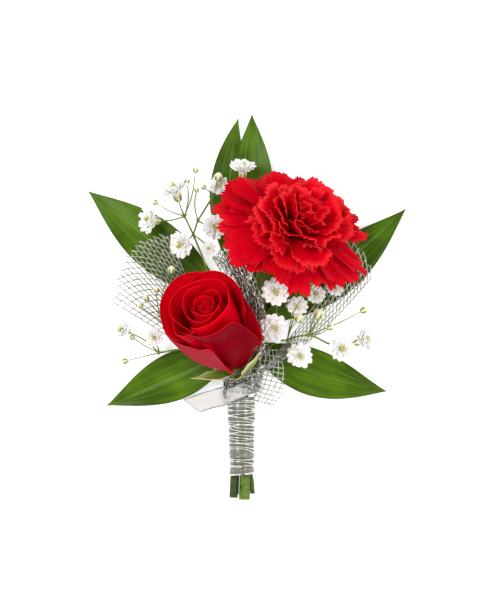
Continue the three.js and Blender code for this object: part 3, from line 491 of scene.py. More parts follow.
def metal(add, colour, roughness, tarnish_and_dark_glint):
    """Drawn metal thread or wire: bright, with fine duller patches along it, tarnish on the wire and
    painted dark glints on bunched net; tone 1 paints it dark all along, a painted shade.
    """
    spot = add("TexCoord", out="Object")
    # Duller patches: tarnish, and on bunched net painted dark glints
    noise = add("TexNoise", {"Vector": spot, "Scale": 900, "Detail": 3})
    dull = add("MapRange", {0: noise, 1: 0.35, 2: 0.65})
    shade = add("Mix", {0: dull, 6: colour, 7: tarnish_and_dark_glint}, **RGBA)
    tone = add("Attribute", out="Fac", **TONE)
    # Painted shade: tone 1 darkens a thread all along
    dark = add("MapRange", {0: tone, 1: 0.5, 2: 1.0, 3: 0, 4: 0.85})
    shaded = add("Mix", {0: dark, 6: shade, 7: "#3a3a36"}, **RGBA)
    return add("BsdfPrincipled", {"Base Color": shaded, "Roughness": roughness, "Metallic": 1.0})


def sheer_weave(add):
    """Organza, woven from fine bright yarn: you see through it, with a pearly sheen on its folds."""
    # Yarns lie about 0.25 mm apart; drawn at 0.5 mm so that they show
    yarns = add("Mapping", {0: add("UVMap", **LAY), 3: (30, 15, 1)})
    weave = add("TexBrick", {"Vector": yarns, "Scale": 1.0, "Mortar Size": 0.12, "Brick Width": 1.0,
                             "Row Height": 1.0}, out="Fac", offset=0.5)
    shade = add("Mix", {0: weave, 6: "#dedad8", 7: "#c4bfbb"}, **RGBA)
    return add("BsdfPrincipled", {
        "Base Color": shade, "Roughness": 0.45, "IOR": 1.5, "Alpha": 0.68,
        "Sheen Weight": 0.4, "Sheen Roughness": 0.3})


def satin_tape(add):
    """Satin ribbon, woven and drawn tight: a silver-grey wrap with a soft shine and fine cross yarns."""
    spot = add("TexCoord", out="Object")
    # Yarns lie about 0.3 mm apart; drawn at 1.2 mm so that they show
    weave = add("TexWave", {"Vector": spot, "Scale": 260, "Distortion": 1.5, "Detail": 3,
                            "Detail Scale": 2.0}, out="Fac", bands_direction="Y")
    patch = add("TexNoise", {"Vector": spot, "Scale": 350, "Detail": 4})
    shade = add("Mix", {0: patch, 6: "#5a5a50", 7: "#88887c"}, **RGBA)
    bump = add("Bump", {"Height": weave, "Strength": 0.3, "Distance": 0.0002})
    return add("BsdfPrincipled", {
        "Base Color": shade, "Roughness": 0.4, "IOR": 1.5, "Metallic": 0.35, "Normal": bump,
        "Sheen Weight": 0.3, "Sheen Roughness": 0.3})


def white_board(add):
    """The table: a matt white acrylic light board, lit from inside, so that hardly a shadow shows."""
    spot = add("TexCoord", out="Object")
    noise = add("TexNoise", {"Vector": spot, "Scale": 12, "Detail": 2})
    shade = add("Mix", {0: noise, 6: "#f7f7f7", 7: "#fbfbfb"}, **RGBA)
    return add("BsdfPrincipled", {
        "Base Color": shade, "Roughness": 0.8, "Emission Color": "#ffffff", "Emission Strength": 0.5})


# Camera, light and table
def new_object(name, data):
    made = bpy.data.objects.new(name, data)
    bpy.context.scene.collection.objects.link(made)
    return made


def make_camera():
    data = bpy.data.cameras.new("camera")
    data.sensor_width = SENSOR
    data.lens = SENSOR * (CAMERA_DISTANCE - VIEW_LEVEL) / VIEW_HEIGHT
    data.clip_start = 0.05
    data.clip_end = 20
    camera = new_object("camera", data)
    camera.location = (VIEW_MIDDLE[0] * MM, VIEW_MIDDLE[1] * MM, CAMERA_DISTANCE * MM)
    bpy.context.scene.camera = camera


def area_light(name, place, power):
    """A round soft box that faces the part; place is in metres and power in watts."""
    data = bpy.data.lights.new(name, "AREA")
    data.shape = "DISK"
    data.size = SOFT_BOX_SIZE
    data.energy = power
    light = new_object(name, data)
    light.location = place
    light.rotation_mode = "QUATERNION"
    light.rotation_quaternion = Vector(-unit(np.array(place, float))).to_track_quat("-Z", "Y")


def make_studio():
    world = bpy.data.worlds.new("studio")
    world.use_nodes = True
    world.node_tree.nodes.clear()
    add = partial(add_node, world.node_tree)
    # Broad white walls all round, with a dimmer ceiling that polished metal mirrors dark
    way = add("SeparateXYZ", {0: add("TexCoord", out="Generated")})
    aside = add("Math", {0: way}, operation="ABSOLUTE")
    ahead = add("Math", {0: way.node.outputs["Y"], 1: 0.85}, operation="MULTIPLY")
    away = add("Math", {0: ahead}, operation="ABSOLUTE")
    side = add("Math", {0: aside, 1: away}, operation="MAXIMUM")
    wall = add("MapRange", {0: side, 1: 0.2, 2: 0.6, 3: 0.5, 4: 0.85}, **EASED)
    add("OutputWorld", {0: add("Background", {0: "#ffffff", 1: wall})})
    bpy.context.scene.world = world
    bpy.context.scene.view_settings.view_transform = "Standard"
    area_light("left_box", (-0.42, 0.28, 0.95), 6.6)
    area_light("right_box", (0.6, -0.3, 0.85), 4.6)
    mesh = bpy.data.meshes.new("table")
    corners = [(-TABLE_HALF, -TABLE_HALF, 0), (TABLE_HALF, -TABLE_HALF, 0),
               (TABLE_HALF, TABLE_HALF, 0), (-TABLE_HALF, TABLE_HALF, 0)]
    mesh.from_pydata(corners, [], [(0, 1, 2, 3)])
    mesh.materials.append(made_of(white_board))
    new_object("table", mesh)


# Ruscus sprig
# Leaves: root, middle and tip of the midrib, greatest width and how far the blade is rolled
LEAVES = table(
    "root middle tip width roll",
    ([-6, 0, 5.2], [-35.6, 24.2, 5.6], [-63.6, 46.6, 0.3], 20.4, 4),
    ([3, -7.5, 5.2], [34.6, 13.8, 5.6], [63.7, 39.5, 0.3], 19.6, -4),
    ([-2, -15, 4.6], [-28.2, -27.2, 3.4], [-56.2, -39.3, 0.3], 19, -3),
    ([-1.9, -13.2, 4.4], [26.2, -25.9, 3], [56, -33.6, 0.3], 18.4, 3),
    ([0.5, 15, 6.4], [1.8, 47, 6.6], [2, 77.4, 2.4], 17.2, 0),
    ([-1, 5, 5.4], [-7.1, 43, 3.4], [-3.5, 75.8, 0.3], 15.4, 0),
    ([0.5, -19, 3.4], [4.8, -1, 3.2], [6.5, 24, 2.8], 13.5, 0))


def leaf_point(leaf, index):
    root, middle, tip = (np.array(leaf[k], float) for k in ("root", "middle", "tip"))
    bend = 2 * middle - 0.5 * root - 0.5 * tip
    lean = np.tan(np.radians(leaf["roll"]))

    def point_at(u, v):
        t = u[..., None]
        spot = (1 - t) ** 2 * root + 2 * t * (1 - t) * bend + t * t * tip
        run = 2 * (1 - t) * (bend - root) + 2 * t * (tip - bend)
        across = unit(np.stack([-run[..., 1], run[..., 0], 0 * u], axis=-1))
        half = 0.5 * leaf["width"] * np.sin(np.pi * np.minimum(u, 0.998)) ** 1.1 + 0.12
        spot = spot + (half * v)[..., None] * across
        groove = 0.35 * np.exp(-(v / 0.07) ** 2) * smooth(6 * u) * smooth(6 - 6 * u)
        wave = 0.7 * np.sin(9 * u + 2.1 * index + 1.5 * v) * v * v * smooth(5 * u) * smooth(5 - 5 * u)
        spot[..., 2] += half * v * lean + 0.07 * half * v * v - groove + wave
        spot[..., 2] = np.maximum(spot[..., 2], 0.5 * LEAF_THICK + 0.02)
        return spot

    return point_at


def ruscus_sprig():
    """The leaves, and the stem with its stalks; one small leaf stands below the net."""
    leaves = Shape()
    for index, leaf in enumerate(LEAVES):
        blade(leaves, leaf_point(leaf, index), 72, 28, LEAF_THICK)
    leaves.piece("ruscus_leaves", made_of(ruscus_leaf_waxed), ["ruscus_sprig"], "ruscus_green")
    lane = RUSCUS_LANE
    stem = Shape()
    upper = [[-2.4, -26, 4.6], [-1.8, -14, 4.8], [-1.2, 2, 5.4], [-0.6, 16, 6.2]]
    low = lane_cut(lane, STEM_CUT_Y + 2.4)
    route = [
        [low[0] + 4.2, low[1], low[2] + 1.6], [low[0] + 3.4, low[1] + 7, low[2] + 1.2], lane_at(lane, 0.8),
        lane_at(lane, 0.5), lane_at(lane, 0), *upper,
    ]
    tube(stem, curve(route, 70), lane["radius"], 14)
    # Two leaf stalks, and a second cut stem at the foot
    for points, radius in (
            ([[-1.2, -6, 5.1], [-4, -2.5, 5.2], [-11, 4.2, 5.4]], 0.7),
            ([[-1.4, -13, 4.9], [1, -9.4, 5.1], [7, -4.4, 5.4]], 0.7),
            ([[-3.4, -58, 3.6], [-3.8, -66, 3.6], [-4.1, -74.8, 3.4]], 0.8)):
        tube(stem, curve(points, 12), radius, 10)
    skin = made_of(green_skin, "ruscus_stem_skin", "#2a3a0e", "#4a6222", 2.5)
    stem.piece("ruscus_stem", skin, ["ruscus_sprig"], "ruscus_green")


# Rose
# The rolled heart, from the middle outward: where each petal stands round the bloom, how far it
# wraps, its share of the bloom's radius and height, and how far it closes over the middle
ROSE_HEART = table(
    "turn wrap radius height close",
    (20, 185, 0.06, 0.885, 0.2),
    (170, 150, 0.12, 0.9, 0.25),
    (300, 140, 0.18, 0.915, 0.28),
    (70, 130, 0.24, 0.925, 0.3),
    (200, 118, 0.3, 0.935, 0.3),
    (320, 110, 0.37, 0.94, 0.26),
    (92, 100, 0.44, 0.945, 0.22))
# The open petals, from the middle outward. Each rim is a line of points: turn round the bloom in
# degrees, reach from its middle and height in millimetres. Foot is where the petal starts, as a share
# of its height, flare how far its rim turns out, and pink the tone of its outer face. A tucked petal's
# last edge lies flat, belly is how far it swells, and late keeps it narrow for longer above its foot
ROSE_RIMS = table(
    "foot flare tuck belly late pink rim",
    (0.45, 0.4, 0, 0, 0, 0, [
        (169, 10.2, 39), (188, 11, 39.5), (207, 10.3, 39.8), (231, 9.2, 40), (259, 8.4, 40), (287, 8.3, 40),
        (313, 8.9, 40), (333, 9.6, 40), (354, 9, 40), (378, 8, 39.8), (403, 7.8, 39.5)]),
    (0.4, 0.5, 0, 0, 0, 0, [
        (313, 12, 39.5), (329, 13.3, 40), (344, 13.1, 40.3), (359, 12.2, 40.5), (376, 11.6, 40.5),
        (394, 11.5, 40.5), (410, 11.3, 40.5), (432, 10.8, 40.3), (455, 10.9, 40), (475, 11, 39.5)]),
    (0.3, 1.6, 0, 0, 0, 0.1, [
        (110, 12.6, 38), (130, 13, 38.6), (150, 13.2, 39), (177, 14.1, 39), (189, 13.9, 39.5),
        (202, 15.2, 39.5), (217, 15.6, 39.5), (232, 15.5, 39.5), (248, 14.3, 39.5), (267, 13.2, 39.5),
        (287, 12.1, 39.5), (306, 12.3, 39), (319, 13.1, 38.5)]),
    (0.2, 2.4, 0, 0, 0, 0.2, [
        (241, 15.8, 37), (259, 13.8, 38), (276, 14.8, 38.5), (289, 15.7, 38.5), (303, 15.8, 38.5),
        (313, 14.5, 38.5), (321, 13, 38.5)]),
    (0.08, 3.4, 0, 0, 0, 0.5, [
        (280, 14.2, 37), (301, 14.6, 38.5), (317, 14.8, 39), (335, 15.9, 39.5), (350, 16.6, 39.5),
        (364, 17, 39.5), (382, 16.9, 39.5), (390, 18.1, 36), (393, 19.8, 32), (395, 21.4, 27.5),
        (398, 21.3, 23)]),
    (0.06, 3.0, 0, 0, 0, 0, [
        (196, 16.2, 36.5), (189, 16.2, 37), (182, 17.3, 37), (175, 19.3, 36.5), (168, 21.1, 36),
        (158, 21, 36), (144, 19.8, 36), (131, 18.1, 36), (114, 16.1, 36), (97, 15.1, 35.5), (76, 14.6, 35),
        (64, 15.1, 33)]),
    (0.05, 5.0, 0, 0, 0, 0.35, [
        (111, 16.7, 34), (91, 15.4, 34.5), (77, 15.6, 33.5), (64, 16.9, 32), (54, 18.9, 30.5),
        (46, 20.9, 28.5), (38, 22.7, 26.5), (36, 20.2, 22)]),
    (0.05, 4.6, 0, 0, 0, 0.4, [
        (160, 21.4, 35), (168, 22.6, 36), (177, 23.6, 36.4), (185, 24.2, 36.5), (193, 24.2, 36.6),
        (204, 24.1, 36.5), (212, 23.5, 36.4), (223, 22.5, 36), (235, 20.9, 35.5), (248, 19.4, 35),
        (258, 18.9, 35), (270, 17.6, 33.6), (284, 15.2, 31.6)]),
    (0.05, 0.3, 0, 0, 0, 0.1, [
        (205, 16.4, 25), (228, 17, 26.5), (250, 16.8, 27), (270, 14.8, 27), (290, 13.2, 26.5),
        (312, 12, 25)]),
    (0.05, 1.3, 1, 1.5, 0.25, 0.9, [
        (228, 22.8, 31), (242, 20.8, 31.5), (259, 19.2, 31.5), (272, 17.5, 31), (286, 16, 30.5),
        (302, 14.8, 30), (321, 14.7, 29), (336, 15, 28), (342, 16, 24), (345, 16.4, 19.5),
        (347, 16.2, 15)]))
# How many points a rim is smoothed into, and how far from the bloom's axis its petals grow
RIM_POINTS = 160
ROSE_ROOT = 2.2


def bowl(rise):
    """How far a petal has opened at a height, as a share of its reach."""
    return np.sin(np.minimum(2.3 * np.clip(rise / ROSE_HEIGHT, 0, 1), np.pi / 2)) ** 0.95


def heart_petal_point(bloom, petal, index):
    root = min(ROSE_ROOT, 0.8 * petal["radius"] * ROSE_RADIUS)

    def point_at(u, v):
        up = 0.5 + 0.5 * u
        way = outward(bloom, petal["turn"] + petal["wrap"] * v)
        ripple = 0.01 * np.sin(5.3 * v + 1.9 * index) + 0.005 * np.sin(11 * v + 3.1 * index)
        rise = petal["height"] * ROSE_HEIGHT * (1 - 0.1 * v * v * u + ripple * u ** 3) * up
        full = petal["radius"] * ROSE_RADIUS * (1 - petal["close"] * (rise / ROSE_HEIGHT) ** 3)
        lap = 0.5 * v * smooth(2 * u)
        wave = (0.15 + 0.5 * petal["radius"]) * np.sin(4.1 * v + 2.3 * index) * u ** 6
        reach = root + (full - root) * bowl(rise) + lap + 0.35 * smooth(5 * u - 4) + wave
        return bloom_point(bloom, way, rise, reach)

    return point_at


def open_petal_point(bloom, petal, index):
    rim = curve(petal["rim"], RIM_POINTS)
    across = np.linspace(-1, 1, RIM_POINTS)
    middle = 0.5 * (rim[0, 0] + rim[-1, 0])

    def point_at(u, v):
        turn, full, tall = (np.interp(v, across, rim[:, k]) for k in range(3))
        up = petal["foot"] + (1 - petal["foot"]) * u
        # A petal is half as wide at its foot
        way = outward(bloom, middle + (turn - middle) * (0.5 + 0.5 * smooth(2.2 * up - petal["late"])))
        tall = tall * (1 + 0.006 * np.sin(9 * v + 1.7 * index) * u ** 4)
        rise = tall * up
        free = 1 - petal["tuck"] * smooth(4 * v - 1.4)
        flare = petal["flare"] * free
        turned_out = flare * smooth(3 * u - 2)
        full = full - flare
        wave = 0.28 * np.sin(5.1 * v + 2.3 * index) * u ** 5
        reach = ROSE_ROOT + (full - ROSE_ROOT) * bowl(rise) / bowl(tall) + turned_out + wave
        reach = reach + petal["belly"] * free * np.sin(np.pi * up ** 0.7) ** 2
        return bloom_point(bloom, way, rise - 0.3 * flare * smooth(8 * u - 7), reach)

    return point_at


def rose_bloom():
    bloom = bloom_frame(ROSE_FOOT, ROSE_LOOK)
    petals = Shape()
    for index, petal in enumerate(ROSE_HEART):
        blade(petals, heart_petal_point(bloom, petal, index), 24, 72, ROSE_PETAL_THICK, (0, 0),
              thin_rim=0.7, rim_power=0.7)
    for index, petal in enumerate(ROSE_RIMS):
        blade(petals, open_petal_point(bloom, petal, index), 44, 72, ROSE_PETAL_THICK, (0, petal["pink"]),
              thin_rim=0.6, rim_power=0.8)
    petals.piece("rose_petals", made_of(rose_petal_velvet), ["rose_bloom"], "rose_red")


# Sepals under the rose: where each grows, how far it reaches out and up, its width and how far it cups
SEPALS = table(
    "turn reach rise width cup",
    (262, 19, 3.4, 5.6, 0.5),
    (44, 15.6, 12.4, 11.5, 1.7),
    (122, 10, 1, 4.6, 0.5),
    (166, 7.6, 3, 4, 0.5),
    (338, 9.6, 2.6, 4.6, 0.5))


def sepal_point(bloom, sepal, index):
    way = outward(bloom, sepal["turn"])

    def point_at(u, v):
        out = 2.2 + (sepal["reach"] - 2.2) * u
        up = -2.4 + (sepal["rise"] + 2.4) * u ** 1.5
        half = 0.5 * sepal["width"] * (0.55 + 0.45 * np.sin(np.pi * np.minimum(1.25 * u, 1))) * (1 - u ** 3)
        half = (half + 0.12) * (1 + 0.08 * np.sin(22 * u + index) * smooth(4 * u))
        cup = sepal["cup"] * v * v * half * (0.3 + u) * 0.6 + 0.25 * np.sin(7 * u + 2 * v + index)
        return bloom_point(bloom, way, up + cup, out, half * v)

    return point_at


def rose_stem():
    lane = ROSE_LANE
    bloom = bloom_frame(ROSE_FOOT, ROSE_LOOK)
    green = Shape()
    foot = bloom["foot"] - 7.6 * bloom["axis"]
    low = lane_cut(lane, STEM_CUT_Y + 0.8)
    route = [
        foot.tolist(), [-2.7, -31.6, 7.2], lane_at(lane, 0), lane_at(lane, 0.5),
        [low[0] - 1.3, -64, low[2]], [low[0] - 1.8, low[1], low[2]],
    ]
    path = curve(route, 60)
    tube(green, path, np.linspace(1.0, 1.7, 60), 16, np.r_[np.full(59, 0.3), 0.9])
    skin = made_of(green_skin, "rose_stem_skin", "#1e300a", "#3a5214", 2.2)
    green.piece("rose_stem_skinned", skin, ["rose_stem"], "rose_green")
    sepals = Shape()
    turned(sepals, [0.6, 1.3, 2.5, 3.5, 4.0, 3.9, 3.2, 1.5], [-8.4, -8, -7, -5.8, -4.4, -3, -1.6, -1.2], 28,
           ROSE_FOOT, ROSE_LOOK, ridge=0.02)
    for index, sepal in enumerate(SEPALS):
        blade(sepals, sepal_point(bloom, sepal, index), 36, 16, 0.4)
    sepals.piece("rose_hip_and_sepals", made_of(sepal_skin), ["rose_stem"], "rose_green")


# Carnation
# The open guard petals one by one: where each stands round the bloom, how far it leans out, its
# length, half its width, how deep its frill is and how far its rim slants
GUARD_PETALS = table(
    "turn lean length width frill skew",
    (205, 58, 24.4, 11, 1.4, 0),
    (173, 58, 26.2, 11, 1.4, 0.05),
    (236, 64, 26.2, 11, 1.4, 0),
    (148, 60, 28.2, 10, 1.4, -0.05),
    (259, 75, 28.4, 11, 1.2, 0.08),
    (125, 68, 31.2, 5.6, 1.0, 0),
    (271, 86, 30.8, 10.5, 0.9, 0),
    (287, 92, 30.3, 10.5, 0.9, 0),
    (309, 91, 27.8, 11.5, 1.0, 0),
    (333, 90, 29.8, 10.5, 0.9, 0),
    (350, 89, 25.4, 9.5, 1.0, -0.04),
    (8, 84, 23.4, 9.5, 1.2, 0.06),
    (117, 72, 22.5, 4.6, 0.6, 0),
    (107, 85, 32.4, 5.2, 0.5, -0.04),
    (98, 89, 31.2, 7, 0.5, 0),
    (86, 86, 27.4, 9, 0.6, 0),
    (70, 90, 24.4, 9.5, 1.1, 0.08),
    (31, 91, 23.8, 8.5, 0.9, 0.1))
# Broad petals that stand out in the crown: sheets along its left side and at its middle, a lip that
# hangs over the guard petals in front, and three at the upper right. They also twist and cup
CROWN_SHEETS = table(
    "turn lean length width frill skew twist cup",
    (318, 54, 24.5, 12, 0.7, 0, 0.1, 0.4),
    (296, 46, 25, 12, 0.6, 0, -0.1, 0.4),
    (306, 33, 25, 11, 0.6, 0.05, 0, 0.35),
    (20, 22, 22.5, 8, 0.5, 0.05, 0, 0.2),
    (344, 38, 23, 10, 0.6, 0, 0.15, 0.3),
    (340, 63, 25, 11, 1.0, 0, 0.1, 0.25),
    (14, 66, 26.4, 11, 1.1, 0, -0.2, 0.2),
    (42, 58, 25.6, 10, 1.0, 0, 0.1, 0.3),
    (126, 54, 26.6, 9, 1.1, 0, 0.3, 0.4),
    (152, 51, 26.8, 10, 1.1, 0, -0.2, 0.4),
    (178, 47, 26.4, 10, 1.1, 0, 0.2, 0.4))
# The other petals of the crown stand in rings: how many, where the first one stands, how far they
# lean out, length, half width and frill
CROWN_RINGS = table(
    "count start lean length width frill",
    (7, 32, 68, 25, 10, 1.1),
    (7, 8, 52, 25.4, 10, 1.1),
    (6, 30, 39, 25.4, 9.5, 1.1),
    (5, 5, 27, 24.6, 9, 1.0),
    (4, 20, 14, 24.4, 7.5, 0.9),
    (2, 80, 4, 22.5, 6, 0.8))
# How far a ring's petals may stray round the bloom, in degrees
RING_STRAY = 19
# How far apart the teeth of a fringe lie, and how deep they are cut
TOOTH_PITCH = 1.7
TOOTH_DEPTH = 1.2


def fringed_petal_point(bloom, petal, index):
    """A fan on a narrow claw, bent outward, frilled across and cut into teeth along its rim."""
    way = outward(bloom, petal["turn"])
    length = petal["length"]
    width = petal["width"]
    lean = np.radians(petal["lean"])
    bloom = {**bloom, "foot": bloom["foot"] + (0.8 + 0.022 * petal["lean"]) * way}
    end_up = length * np.cos(lean)
    end_out = length * np.sin(lean)
    first_up = 0.42 * length
    phase = 1.7 * index

    def point_at(u, v):
        saw = 2 * np.abs((width / TOOTH_PITCH * v + 0.35 * np.sin(5 * v + index)) % 1 - 0.5)
        depth = TOOTH_DEPTH * (0.65 + 0.35 * np.sin(7 * v + 2.9 * index))
        notch = 0.9 * np.abs(np.sin(3.1 * v + 1.3 * index)) ** 5
        s = u * (1 + petal["skew"] * v - 0.12 * v * v - (depth * saw + notch) / length * u ** 6)
        up = 2 * s * (1 - s) * first_up + s * s * end_up
        out = s * s * end_out
        up_run = 2 * (1 - 2 * s) * first_up + 2 * s * end_up
        out_run = 2 * s * end_out
        run = np.hypot(up_run, out_run) + 1e-6
        half = width * (0.14 + 0.86 * smooth(0.2 + 0.8 * s) * s)
        wave = petal["frill"] * s * s * np.sin(1.7 * np.pi * v + phase)
        wave = wave + petal["crimp"] * s ** 4 * np.sin(5.2 * np.pi * v + 2.3 * phase)
        wave = wave + 0.5 * (saw - 0.5) * u ** 9
        wave = wave + half * (petal["twist"] * v + petal["cup"] * v * v) * s
        sway = 0.7 * s ** 3 * np.sin(3.4 * np.pi * v + phase)
        return bloom_point(bloom, way, up + wave * out_run / run, out - wave * up_run / run,
                           half * v + sway)

    return point_at


def carnation_bloom():
    bloom = bloom_frame(CARNATION_FOOT, CARNATION_LOOK)
    guard = Shape()
    crown = Shape()
    for index, petal in enumerate(GUARD_PETALS):
        petal = {**petal, "crimp": 0.07, "twist": 0, "cup": 0.06}
        # Low tone: the guard petals, which catch the most light, get little painted brightening or rim
        # highlight
        blade(guard, fringed_petal_point(bloom, petal, index), 22, 88, FRINGE_THICK,
              (rng.uniform(0, 0.25), 0), rim_power=0.75)
    index = 20
    # High tone: the crown's petals are painted brighter, with a painted highlight on their rims
    for petal in CROWN_SHEETS:
        petal = {**petal, "crimp": 0.3}
        blade(crown, fringed_petal_point(bloom, petal, index), 18, 84, FRINGE_THICK,
              (rng.uniform(0.3, 0.9), 0.5), rim_power=0.75)
        index += 1
    for ring in CROWN_RINGS:
        for k in range(ring["count"]):
            turn = ring["start"] + 360 * k / ring["count"] + rng.uniform(-RING_STRAY, RING_STRAY)
            # The crown leans away from the stem, so its petals are shorter over the guard petals there
            near = 0.76 + 0.24 * (0.5 - 0.5 * np.cos(np.radians(turn))) ** 2 if ring["lean"] > 50 else 1
            if ring["lean"] > 45:
                # A gap at the right shows the leaf below
                near = near * (1 - 0.3 * np.exp(-((turn % 360 - 104) / 20) ** 2))
            near = near * (1 - 0.13 * np.exp(-((turn % 360 - 180) / 40) ** 2))
            petal = {
                "turn": turn, "lean": ring["lean"] + rng.uniform(-14, 12), "width": ring["width"],
                "length": ring["length"] * near * rng.uniform(0.88, 1.06), "skew": rng.uniform(-0.1, 0.1),
                "frill": ring["frill"] * rng.uniform(0.6, 1.3), "crimp": 0.4 * ring["frill"],
                "twist": rng.uniform(-0.6, 0.6), "cup": rng.uniform(0, 0.6),
            }
            blade(crown, fringed_petal_point(bloom, petal, index), 14, 60, FRINGE_THICK,
                  (rng.uniform(0.3, 0.9), 0.4), rim_power=0.75)
            index += 1
    crepe = made_of(carnation_petal_crepe)
    guard.piece("carnation_guard_petals", crepe, ["carnation_bloom"], "carnation_red")
    crown.piece("carnation_crown_petals", crepe, ["carnation_bloom"], "carnation_red")


def carnation_stem():
    lane = CARNATION_LANE
    look = unit(CUP_MOUTH - CUP_FOOT)
    length = np.linalg.norm(CUP_MOUTH - CUP_FOOT) - 1.6
    wide = CUP_RADIUS
    green = Shape()
    turned(green, [0.8, 2.2, wide - 2.2, wide - 1.4, wide - 0.7, wide - 0.3, wide, wide - 0.2, wide - 0.9],
           [-0.5, 0, 1.6, 3.5, 7, 11, length - 5, length - 1, length], 40, CUP_FOOT, look, 0.012, ridges=16)
    cup = bloom_frame(CUP_FOOT, look)
    for k in range(5):
        def tooth(u, v):
            half = (1 - u ** 1.5) * 3.0 + 0.1
            out = wide - 0.2 + 0.9 * u - 0.12 * (half * v) ** 2 / 2
            return bloom_point(cup, outward(cup, 72 * k + 20), length - 1.5 + 5.0 * u, out, half * v)

        def bract(u, v):
            half = (1 - u ** 1.4) * 2.6 + 0.1
            out = 2.3 + 2.2 * smooth(1.4 * u) + 0.3 * u - 0.1 * (half * v) ** 2
            return bloom_point(cup, outward(cup, 90 * k + 40), -0.6 + 6.5 * u, out, half * v)

        blade(green, tooth, 14, 10, 0.4)
        if k < 4:
            blade(green, bract, 12, 8, 0.35)
    low = lane_cut(lane, STEM_CUT_Y)
    route = [
        [low[0] - 0.7, low[1], low[2]], lane_at(lane, 0.5), lane_at(lane, 0), [-0.8, -33.6, 7],
        [0.2, -30.6, 6.7], [3.3, -24, 6.6], [5.8, -12, 7.2], [5.6, -3, 7.6], [5.9, 4.2, 8.4],
    ]
    thick = 1.25 + 0.95 * smooth(1 - np.arange(90) / 26)
    tube(green, curve(route, 90), thick, 18, np.r_[1.0, np.full(89, 0.3)])
    skin = made_of(green_skin, "carnation_stem_skin", "#3e540e", "#6a7e2e", 2.0)
    green.piece("carnation_cup_and_stem", skin, ["carnation_stem"], "carnation_green")


# Baby's breath
# Rings of small petals: how many, lean, length and width as shares of the floret's radius
FLORET_RINGS = table(
    "count lean length width",
    (6, 82, 1.0, 0.36),
    (7, 66, 0.9, 0.33),
    (6, 48, 0.78, 0.3),
    (5, 30, 0.62, 0.26),
    (3, 20, 0.46, 0.2))
EYE_KNOBS = 9


def floret(petals, eyes, cups, head):
    """A double floret: rings of notched petals over a striped cup, closed up where it is seen aside."""
    radius = head["size"] / 2
    bloom = bloom_frame(head["at"], head["look"])
    bloom["foot"] = bloom["foot"] - 0.3 * radius * bloom["axis"]
    cupped = 1 - abs(bloom["axis"][2])
    for ring in FLORET_RINGS:
        start = rng.uniform(0, 360)
        for k in range(ring["count"]):
            way = outward(bloom, start + 360 * k / ring["count"] + rng.uniform(-9, 9))
            lean = np.radians((1 - 0.18 * cupped) * ring["lean"] + rng.uniform(-8, 8))
            share = ring["length"] + 0.95 * (1 - ring["length"]) * cupped
            length = (1 + 0.25 * cupped) * radius * share * rng.uniform(0.88, 1.06)
            width = radius * ring["width"] * rng.uniform(0.85, 1.12)
            roll = rng.uniform(-0.25, 0.25)

            def petal(u, v):
                s = u * (1 - 0.2 * np.exp(-(v / 0.28) ** 2) * u ** 3 - 0.22 * v ** 4)
                bend = lean * smooth(1.6 * s)
                out = length * s * np.sin(bend)
                up = length * (0.35 * s + 0.65 * s * np.cos(bend)) * 0.9
                half = width * (0.3 + 0.9 * smooth(1.5 * s))
                curl = 0.3 * width * v * v * smooth(2 * s) + roll * half * v
                curl = curl + 0.08 * length * np.sin(5 * v + 9 * roll) * s
                return bloom_point(bloom, way, up + curl, out, half * v)

            blade(petals, petal, 7, 8, FLORET_THICK, (rng.uniform(0, 0.35),) * 2, thin_rim=0.4)
    turned(cups, 0.26 * radius * np.array([0.25, 0.75, 1.05, 1.2, 1.2, 0.9]),
           0.6 * radius * np.array([-1.05, -0.95, -0.7, -0.35, 0.0, 0.25]), 20, bloom["foot"], head["look"],
           ridge=0.05)
    for _ in range(EYE_KNOBS):
        place = bloom["foot"] + bloom["axis"] * radius * rng.uniform(0.45, 0.72)
        place = place + rng.uniform(-0.16, 0.16, 3) * radius
        turned(eyes, 0.075 * radius * np.array([0.3, 1, 1, 0.3]),
               0.12 * radius * np.array([-1, -0.4, 0.5, 1]), 6, place, head["look"])


def bud(shape, place, size, look):
    share = np.linspace(0.04, 0.96, 9)
    radius = 0.5 * size * np.sin(np.pi * share) ** 0.7
    turned(shape, radius, size * (share - 0.5) * 1.15, 20, place, look, ridge=0.04)


def twig(stems, start, end, sag, radius=TWIG_RADIUS):
    """A thin stalk with a slight bow and a pair of tiny bracts where it forks."""
    start = np.array(start, float)
    end = np.array(end, float)
    run = end - start
    aside = unit(np.cross(run, [0, 0, 1.0])) * sag * np.linalg.norm(run)
    path = curve([start, start + 0.5 * run + aside, end], 12)
    tube(stems, path, radius * np.linspace(1.0, 0.75, 12), 8)
    for way in (-1, 1):
        side = way * unit(np.cross(run, [0, 0, 1.0]))

        def bract(u, v):
            half = 0.45 * (1 - u ** 1.5) + 0.04
            spot = start + (2.2 * u)[..., None] * unit(run + 0.9 * side * np.linalg.norm(run))
            return spot + (half * v)[..., None] * np.array([0, 0, 1.0]) + (0.35 * radius) * side

        blade(stems, bract, 5, 2, 0.15)


